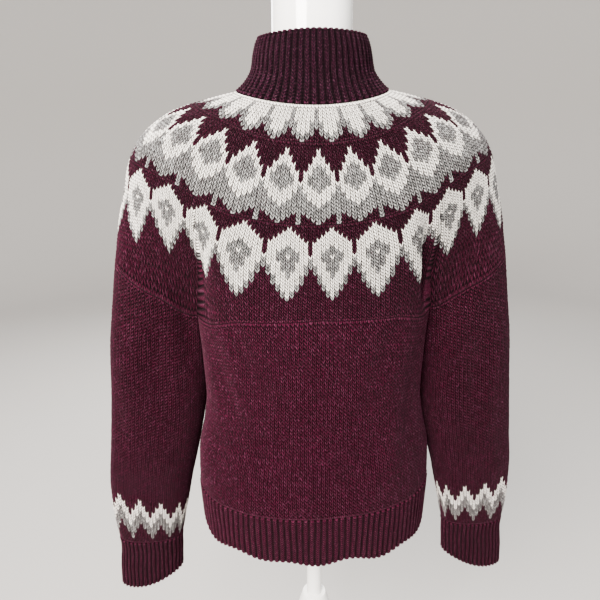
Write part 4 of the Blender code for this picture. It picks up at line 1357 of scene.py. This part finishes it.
@dataclass
class Cardigan:
    """The knitted garment: yoke, body, sleeves and ribs."""

    yarns: tuple[YarnColour, ...] = (
        YarnColour((0.0310, 0.0017, 0.0100), 0.55, 0.07, (0.135, 0.032, 0.070)),
        YarnColour((0.96, 0.91, 0.83), 0.04, 0.03, (0.97, 0.92, 0.86)),
        YarnColour((0.165, 0.168, 0.163), 0.95, 0.07, (0.55, 0.54, 0.52)),
    )
    # darker copies of the yarns for the sleeves and cuffs, as painted shade
    painted_shade_sleeve_yarns: tuple[YarnColour, ...] = (
        YarnColour((0.0240, 0.0012, 0.0076), 0.55, 0.07, (0.108, 0.025, 0.056)),
        YarnColour((0.96, 0.89, 0.82), 0.04, 0.03, (0.97, 0.90, 0.85)),
        YarnColour((0.165, 0.160, 0.155), 0.95, 0.07, (0.54, 0.52, 0.50)),
    )
    rib_yarns: tuple[YarnColour, ...] = (
        YarnColour((0.0330, 0.0019, 0.0106), 0.55, 0.07, (0.125, 0.032, 0.066)),
    )
    # a more purple maroon for the collar, also darkened as painted shade
    purple_and_shaded_collar_yarns: tuple[YarnColour, ...] = (
        YarnColour((0.0115, 0.0007, 0.0050), 0.60, 0.07, (0.064, 0.019, 0.042)),
    )
    yoke_courses: int = 64
    gather: float = 0.22
    finish: Wool = field(default_factory=Wool)

    MARGIN = 0.06
    SPARE_ROWS = 12
    CROWD = 0.05
    CROWD_AT = (0.38, 0.16)
    CROWD_SHARES = (0.45, 0.75)
    EASE = 0.017
    EASE_AT = (0.36, 0.17)
    TUCK = 0.115
    TUCK_AT = (0.62, 0.26)
    TUCK_SHARES = ((0.50, 0.60, 0.88, 1.0), (0.0, 0.25, 1.0, 0.0))
    TILTS = {1: 0.006, -1: -0.002}
    TILT_SHARES = ((0.0, 0.8, 0.93, 1.0), (0.0, 1.0, 1.0, 0.0))
    KNEE = 0.8

    def _spread(self, places: np.ndarray, share: float) -> np.ndarray:
        """Crowd the wales together at the armhole creases.

        Args:
            places: even places round the yoke.
            share: share of the yoke's depth.

        Returns:
            The places of the wales.
        """
        turn = np.abs(places)
        start, end = self.CROWD_SHARES
        rise = min(max((share - start) / (end - start), 0.0), 1.0)
        moved = self.CROWD * hump(np.minimum(turn, 2 - turn), *self.CROWD_AT)
        moved = moved * rise * rise * (3 - 2 * rise)
        return np.sign(places) * (turn + np.where(turn <= 1, moved, -moved))

    def _yoke(self, first: float, last: float) -> Callable:
        """Surface of a stretch of the yoke, eased at the back and drawn up at the armholes.

        Args:
            first: share of the yoke's depth at the top.
            last: share at the bottom.

        Returns:
            The surface, read by wale and course.
        """
        def surface(across: np.ndarray, shares: np.ndarray) -> np.ndarray:
            """Points of the stretch."""
            levels = np.linspace(max(first - self.MARGIN, 0), min(last + self.MARGIN, 1),
                                 len(shares) + self.SPARE_ROWS)
            nearest = (levels - first) / (last - first) * (len(shares) - 1)
            nearest = nearest.round().astype(int).clip(0, len(shares) - 1)
            rows = []
            for row, share in zip(across[nearest], levels):
                places = self._spread(-2 + 4 * row, share)
                rows.append(yoke_points(opened(places, yoke_points, share), share))
            wanted = (first + shares * (last - first))[:, None]
            turn = np.abs(-2 + 4 * across)
            behind = np.minimum(turn, 2 - turn)
            eased = self.EASE * hump(behind, *self.EASE_AT) * np.sin(math.pi * wanted) ** 0.5
            drawn = self.TUCK * hump(behind, *self.TUCK_AT) * curve(*self.TUCK_SHARES, wanted)
            at = (wanted + eased - drawn - levels[0]) / (levels[-1] - levels[0])
            return read_rows(np.stack(rows), at.clip(0, 1) * (len(levels) - 1))
        return surface

    @staticmethod
    def _collar(across: np.ndarray, shares: np.ndarray) -> np.ndarray:
        """Surface of the collar, from its rim down.

        Args:
            across: share of the way round, by row and column.
            shares: share of the way down, by row.

        Returns:
            The points.
        """
        rows = []
        for row, share in zip(across, 1 - shares):
            rows.append(collar_points(opened(-2 + 4 * row, collar_points, share), share))
        return np.stack(rows)

    @staticmethod
    def _body(start: float, end: float, top: Callable, bottom: Callable) -> Callable:
        """Surface of a piece of the body.

        Args:
            start: place of its first wale.
            end: place of its last wale.
            top: height of its upper edge by place.
            bottom: height of its lower edge by place.

        Returns:
            The surface, read by wale and course.
        """
        def surface(across: np.ndarray, shares: np.ndarray) -> np.ndarray:
            """Points of the piece."""
            places = start + across * (end - start)
            tops, bottoms = top(places), bottom(places)
            return body_points(places, tops + (bottoms - tops) * shares[:, None])
        return surface

    def _sleeve(self, side: int, top: Callable, bottom: Callable, gather: float) -> Callable:
        """Surface of a sleeve or cuff, its wales drawn together along the inner arm.

        Args:
            side: 1 for the wearer's left, -1 for the right.
            top: height of its upper edge by place.
            bottom: height of its lower edge by place.
            gather: how much the wales draw together, 0 for a cuff.

        Returns:
            The surface, read by wale and course.
        """
        def surface(across: np.ndarray, shares: np.ndarray) -> np.ndarray:
            """Points of the sleeve."""
            turn = 2 * across - 1
            drawn = 1 + gather * shares[:, None]
            size = np.abs(turn)
            knee = self.KNEE / drawn
            inner = self.KNEE + (size - knee) / (1 - knee) * (1 - self.KNEE)
            places = np.sign(turn) * np.where(size < knee, size * drawn, inner)
            tops, bottoms = top(places), bottom(places)
            tilt = self.TILTS[side] * curve(*self.TILT_SHARES, shares)[:, None] if gather else 0.0
            heights = tops + (bottoms - tops) * shares[:, None] + tilt * np.cos(places * math.pi)
            return sleeve_points(side, places, heights)
        return surface

    def panels(self) -> list[KnitPanel]:
        """Every knitted piece.

        Returns:
            The pieces in the order they are made.
        """
        def level(height: float) -> Callable:
            """Edge at one height."""
            return lambda places: np.full(np.shape(places), height)
        front_edge = 2 - FRONT_EDGE * front_place(body_points, UNDERARM)
        inset = 1 - SEAM_SHARE
        courses = float(self.yoke_courses)
        hem_top, hem_seam = level(HEM_TOP), level(HEM_TOP + SEAM)
        cuff_top, cuff_seam = level(CUFF_TOP), level(CUFF_TOP + SEAM)
        made = [
            # the yoke's maroon is darkened with painted shade, most towards the neck
            KnitPanel("yoke_bells", "yoke", "yoke_wool", self._yoke(0, 11 / courses), 144, 11,
                      pattern=Pattern(Charts.bells(), 0, 69), seed=11, area_share=0.9,
                      painted_shade_fade=(0.42, 0.45)),
            KnitPanel("yoke_scallops", "yoke", "yoke_wool", self._yoke(11 / courses, 34 / courses),
                      192, 23, pattern=Pattern(Charts.scallops(), 2, 96), seed=12, area_share=0.95,
                      painted_shade_fade=(0.45, 0.48)),
            KnitPanel("yoke_diamonds", "yoke", "yoke_wool", self._yoke(34 / courses, 1), 240, 30,
                      pattern=Pattern(Charts.diamonds(), 1, 117), seed=13, painted_shade_fade=(0.48, 0.88)),
            KnitPanel("collar_rib", "collar", "rib_wool", self._collar, 120, 22, Knit.RIB,
                      seed=14, wale=COLLAR_STITCH_WIDTH),
            KnitPanel("back_knit", "back", "wool", self._body(-inset, inset, body_top, hem_seam),
                      84, 56, seed=15),
            KnitPanel("hem_back_rib", "hem_back", "rib_wool",
                      self._body(-inset, inset, hem_top, hem_edge), 112, 21, Knit.RIB,
                      seed=16, wale=HEM_STITCH_WIDTH),
        ]
        for side, word in SIDES:
            near, far = side * (1 + SEAM_SHARE), side * front_edge
            zigzag = Pattern(Charts.zigzag(), 69, 32 + 6 * side)
            made += [
                KnitPanel("front_knit_" + word, "front_" + word, "wool",
                          self._body(near, far, body_top, hem_seam), 42, 56, seed=20 + side),
                KnitPanel("hem_rib_" + word, "hem_" + word, "rib_wool",
                          self._body(near, far, hem_top, hem_edge), 56, 21, Knit.RIB,
                          seed=23 + side, wale=HEM_STITCH_WIDTH),
                KnitPanel("sleeve_knit_" + word, "sleeve_" + word, "wool",
                          self._sleeve(side, sleeve_top, cuff_seam, self.gather), 66, 86,
                          pattern=zigzag, closed=True, held="hung", seed=26 + side),
                KnitPanel("cuff_rib_" + word, "cuff_" + word, "rib_wool",
                          self._sleeve(side, cuff_top, cuff_edge, 0.0), 74, 22, Knit.RIB,
                          closed=True, held="hung", seed=29 + side, wale=CUFF_STITCH_WIDTH),
            ]
        return made

    def _yarns_of(self, panel: KnitPanel) -> tuple[YarnColour, ...]:
        """Yarns of a piece: sleeves and cuffs get darker copies as painted shade, the collar a more
        purple maroon that is also darkened as painted shade.

        Args:
            panel: the piece.

        Returns:
            Colours of its yarns in the order of Yarn.
        """
        if panel.knit is Knit.RIB:
            if panel.node.startswith("cuff"):
                return self.painted_shade_sleeve_yarns
            return self.purple_and_shaded_collar_yarns if panel.node == "collar" else self.rib_yarns
        return self.painted_shade_sleeve_yarns if panel.node.startswith("sleeve") else self.yarns

    def build(self) -> None:
        """Make every knitted piece."""
        wool = self.finish.material("heathered_wool")
        for panel in self.panels():
            panel.build(self._yarns_of(panel), wool)


@dataclass
class DressForm:
    """Glossy white limbless form inside the garment."""

    columns: int = 128
    crisp: float = math.radians(50)
    finish: GlossShell = field(default_factory=GlossShell)

    def build(self) -> bpy.types.Object:
        """Make the form as a smooth closed shell."""
        places = np.linspace(-2, 2, self.columns, endpoint=False)
        rings = [table_ring(row, places) for row in reversed(FORM_NECK)]
        ease = FORM_EASE * np.cos(places * math.pi / 2)[:, None] ** 2
        step = FORM_STEP
        for share in FORM_SHOULDERS:
            across = yoke_points(places + step, share) - yoke_points(places - step, share)
            down = yoke_points(places, share + step) - yoke_points(places, share - step)
            normals = unit(np.cross(across, down))
            normals = normals * np.sign(normals[..., 2:])
            rings.append(yoke_points(places, share) - normals * (WALL + REST_GAP + ease))
        rings.extend(table_ring(row, places) for row in reversed(FORM_TORSO))
        grid = np.stack(rings)
        last = (len(grid) - 1) * self.columns
        faces = MeshMaker.grid(len(grid), self.columns, True).tolist()
        faces.append(list(range(self.columns)))
        faces.append(list(range(last, last + self.columns))[::-1])
        item = MeshMaker.made("form_shell", grid, faces, self.finish.material("glossy_white_shell"))
        item.data.set_sharp_from_angle(angle=self.crisp)
        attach(item, "garment")
        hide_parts("form")
        LOG.info("form_shell: %d faces", len(faces))
        return item


@dataclass
class Zip:
    """Zip down the centre front: brass teeth, slider, pull, stops and box on two woven tapes."""

    pitch: float = 0.0021
    tooth: Triple = (0.0031, 0.0024, 0.00118)
    tooth_middle: float = 0.0014
    teeth_depth: float = 0.0035
    tape_span: tuple[float, float] = (0.0036, 0.0160)
    tape_depth: float = 0.0033
    tape_thickness: float = 0.0009
    tape_columns: int = 14
    cord_rise: float = 0.00055
    cord: tuple[float, ...] = (0.6, 1.0, 0.3)
    ripple: float = 0.00004
    tape_rows: int = 260
    corners: int = 8
    rounding: float = 0.55
    tooth_rings: tuple = ((-0.5, 0.86), (-0.32, 1.0), (0.32, 1.0), (0.5, 0.86))
    ends: tuple[float, float] = (0.5, 0.6)
    crisp: float = math.radians(40)
    samples: int = 4000
    run_points: tuple[int, int, int] = (40, 36, 20)
    step: float = 0.001
    top: float = 0.97
    above_hem: float = 0.002
    brass: Brass = field(default_factory=Brass)
    twill: Twill = field(default_factory=Twill)

    def _strip(self, side: int, distance: float, depth: float, count: int) -> np.ndarray:
        """Points up the front from the hem to the collar, beside the middle and inside the cloth.

        Args:
            side: 1 for the wearer's left, -1 for the right.
            distance: metres from the centre front.
            depth: metres inside the outer side of the cloth.
            count: points wanted, evenly spaced.

        Returns:
            The points.
        """
        low = float(hem_edge(np.array(2.0))) + self.above_hem
        high = float(body_top(np.array([2.0]))[0])
        body, yoke, collar = self.run_points
        runs = (
            (body_points, np.linspace(low, high, body)),
            (yoke_points, np.linspace(1, 0, yoke)[1:]),
            (collar_points, np.linspace(0, self.top, collar)[1:]),
        )
        line = []
        for points_of, levels in runs:
            for level in levels:
                place = np.array([side * (2 - distance * front_place(points_of, level))])
                line.append(points_of(place, level)[0])
        line = np.array(line)
        ahead = np.gradient(line, axis=0)
        inward = np.stack([np.zeros(len(line)), ahead[:, 2], -ahead[:, 1]], axis=-1)
        line = line + unit(inward) * depth
        lengths = walked(line)
        return along(line, lengths, np.linspace(0, lengths[-1], count))

    def teeth(self, side: int, word: str, material: bpy.types.Material) -> None:
        """Make one row of teeth, each a rounded bar clamped on the tape's edge.

        Args:
            side: 1 for the wearer's left, -1 for the right.
            word: the side's word in the names of the pieces.
            material: material of the teeth.
        """
        line = self._strip(side, 0.0, self.teeth_depth, self.samples)
        lengths = walked(line)
        low, high = (corner[2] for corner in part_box("zip_teeth_" + word))
        first, last = self.ends
        offset = first if side > 0 else 2 * first
        start = np.interp(low, line[:, 2], lengths) + self.pitch * offset
        end = np.interp(high, line[:, 2], lengths) - self.pitch * last
        at = np.arange(start, end, self.pitch)
        middles = along(line, lengths, at)
        ups = unit(along(line, lengths, at + self.step) - middles)
        inward = np.stack([np.zeros(len(at)), ups[:, 2], -ups[:, 1]], axis=-1)
        turns = (np.arange(self.corners) + 0.5) * 2 * math.pi / self.corners
        rim = np.stack([np.cos(turns), np.sin(turns)], axis=-1)
        rim = np.sign(rim) * np.abs(rim) ** self.rounding
        width, thickness, height = self.tooth
        points = []
        for level, size in self.tooth_rings:
            across = (side * self.tooth_middle + rim[:, 0] * size * width / 2)[None, :, None]
            deep = (rim[:, 1] * size * thickness / 2)[None, :, None]
            points.append(middles[:, None] + np.array([1.0, 0, 0]) * across
                          + inward[:, None] * deep + ups[:, None] * level * height)
        points = np.stack(points, axis=1)
        each = len(self.tooth_rings) * self.corners
        sides = MeshMaker.grid(len(self.tooth_rings), self.corners, True)
        caps = [np.arange(self.corners), np.arange(each - self.corners, each)[::-1]]
        faces = []
        for tooth in range(len(at)):
            faces += (sides + tooth * each).tolist()
            faces += [(cap + tooth * each).tolist() for cap in caps]
        item = MeshMaker.made("zip_tooth_row_" + word, points, faces, material)
        item.data.set_sharp_from_angle(angle=self.crisp)
        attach(item, "garment")
        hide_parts("zip_teeth_" + word)
        LOG.info("%s: %d teeth", item.name, len(at))

    def tape(self, side: int, word: str, material: bpy.types.Material) -> None:
        """Make one woven tape with a beaded inner edge.

        Args:
            side: 1 for the wearer's left, -1 for the right.
            word: the side's word in the names of the pieces.
            material: material of the tape.
        """
        inner, outer = self.tape_span
        rows, columns = self.tape_rows, self.tape_columns
        rng = np.random.default_rng(40 + side)
        ripple = rng.normal(0, self.ripple, (rows, columns))
        bead = np.zeros(columns)
        bead[:len(self.cord)] = np.array(self.cord) * self.cord_rise
        share = np.linspace(0, 2, columns)
        part = (share % 1 + (share == 2))[None, :, None]
        low = np.minimum(share.astype(int), 1)
        layers = []
        for deep, sign in ((0.0, -1), (self.tape_thickness, 1)):
            lines = np.stack([self._strip(side, distance, self.tape_depth + deep, rows)
                              for distance in (inner, (inner + outer) / 2, outer)], axis=1)
            grid = lines[:, low] * (1 - part) + lines[:, low + 1] * part
            grid[..., 1] += ripple + (bead if sign > 0 else 0.0)
            layers.append(grid)
        count = rows * columns
        face = MeshMaker.grid(rows, columns, False)
        rim = np.concatenate([np.arange(columns), np.arange(1, rows) * columns + columns - 1,
                              (rows - 1) * columns + np.arange(columns - 2, -1, -1),
                              np.arange(rows - 2, 0, -1) * columns])
        after = np.roll(rim, -1)
        edges = np.stack([rim, after, after + count, rim + count], axis=-1)
        faces = face.tolist() + (face[:, ::-1] + count).tolist() + edges.tolist()
        points = np.concatenate([layer.reshape(-1, 3) for layer in layers])
        item = MeshMaker.made("zip_woven_tape_" + word, points, faces, material)
        shaped = bmesh.new()
        shaped.from_mesh(item.data)
        bmesh.ops.recalc_face_normals(shaped, faces=shaped.faces)
        shaped.to_mesh(item.data)
        shaped.free()
        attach(item, "garment")
        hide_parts("zip_tape_" + word)

    def build(self) -> None:
        """Make the teeth and tapes and dress the hard pieces."""
        metal = self.brass.material("satin_brass")
        woven = self.twill.material("twill_tape")
        for side, word in SIDES:
            self.teeth(side, word, metal)
            self.tape(side, word, woven)
        repaint(("zip_slider", "zip_pull", "zip_stop_", "zip_box"), metal)
        LOG.info("zip dressed")


@dataclass
class Stand:
    """Pole, hub, lower tube and base."""

    finish: PaintedSteel = field(default_factory=PaintedSteel)

    def build(self) -> None:
        """Dress the stand."""
        repaint(("stand_",), self.finish.material("white_powder_coat"))
        LOG.info("stand dressed")


@dataclass
class Studio:
    """Camera, soft light, floor and backdrop."""

    distance: float = 0.811
    height: float = 1.42
    offset: float = 0.0188
    yaw: float = math.radians(3.5)
    pitch: float = math.radians(20.7)
    roll: float = math.radians(0.7)
    aim: Triple = (0.0, 0.0, 1.1)
    floor_radius: float = 3.4
    bend: float = 1.2
    wall_top: float = 4.5
    floor_drop: float = 0.0005
    floor_columns: int = 96
    lens: float = 36.0
    sensor: float = 36.0
    near: float = 0.02
    sky: Rgba = (0.93, 0.95, 1.0, 1.0)
    sky_strength: float = 1.50
    finish: PaleFloor = field(default_factory=PaleFloor)

    LIGHTS = (
        ("window", (1.0, 1.9, 2.5), 1.2, 430.0, (1.0, 0.94, 0.89)),
        ("fill", (-1.9, 1.5, 1.6), 1.6, 32.0, (0.94, 0.98, 1.0)),
        ("front_fill", (0.3, -2.2, 2.0), 1.8, 100.0, (1.0, 1.0, 1.0)),
    )

    def camera(self) -> None:
        """Place the camera as the photograph was taken."""
        c, s = math.cos(self.yaw), math.sin(self.yaw)
        ahead = Vector((-s, -c, 0.0))
        right = Vector((-c, s, 0.0))
        up = ahead * math.sin(self.pitch) + Vector((0, 0, 1)) * math.cos(self.pitch)
        turned = right * math.cos(self.roll) - up * math.sin(self.roll)
        risen = right * math.sin(self.roll) + up * math.cos(self.roll)
        data = bpy.data.cameras.new("camera")
        data.lens = self.lens
        data.sensor_width = self.sensor
        data.clip_start = self.near
        item = bpy.data.objects.new("camera", data)
        bpy.context.scene.collection.objects.link(item)
        matrix = Matrix((turned, risen, turned.cross(risen))).transposed().to_4x4()
        matrix.translation = Vector((self.offset * c + self.distance * s,
                                     self.distance * c - self.offset * s, self.height))
        item.matrix_world = matrix
        bpy.context.scene.camera = item

    def light(self, name: str, place: Sequence[float], size: float, power: float,
              colour: Sequence[float]) -> None:
        """Add a soft square light that faces the middle of the garment.

        Args:
            name: name of the light.
            place: where it stands.
            size: metres along a side.
            power: watts.
            colour: its colour.
        """
        data = bpy.data.lights.new(name, "AREA")
        data.size = size
        data.energy = power
        data.color = colour
        item = bpy.data.objects.new(name, data)
        item.location = place
        ahead = Vector(self.aim) - Vector(place)
        item.rotation_euler = ahead.to_track_quat("-Z", "Y").to_euler()
        bpy.context.scene.collection.objects.link(item)

    def backdrop(self) -> None:
        """Pale floor that curves up into a backdrop all round."""
        reach, bend, columns = self.floor_radius, self.bend, self.floor_columns
        profile = [(0.0, 0.0), (reach, 0.0)]
        profile += [(reach + bend * math.sin(a), bend - bend * math.cos(a))
                    for a in np.linspace(0.1, math.pi / 2, 12)]
        profile.append((reach + bend, self.wall_top))
        angles = np.linspace(0, 2 * math.pi, columns, endpoint=False)
        grid = np.array([[(r * math.cos(a), r * math.sin(a), z - self.floor_drop) for a in angles]
                         for r, z in profile])
        faces = MeshMaker.grid(len(grid), columns, True)[:, ::-1].tolist()
        item = MeshMaker.made("floor", grid, faces, self.finish.material("pale_floor"))

    def build(self) -> None:
        """Set up the studio."""
        world = bpy.data.worlds.new("soft_sky")
        world.use_nodes = True
        sky = world.node_tree.nodes["Background"].inputs
        sky["Color"].default_value = self.sky
        sky["Strength"].default_value = self.sky_strength
        bpy.context.scene.world = world
        self.backdrop()
        for lamp in self.LIGHTS:
            self.light(*lamp)
        self.camera()


def main() -> None:
    """Build every piece in order."""
    logging.basicConfig(level=logging.INFO, format="%(message)s")
    Cardigan().build()
    DressForm().build()
    Zip().build()
    Stand().build()
    Studio().build()
    LOG.info("studio set up")


if __name__ == "__main__":
    main()
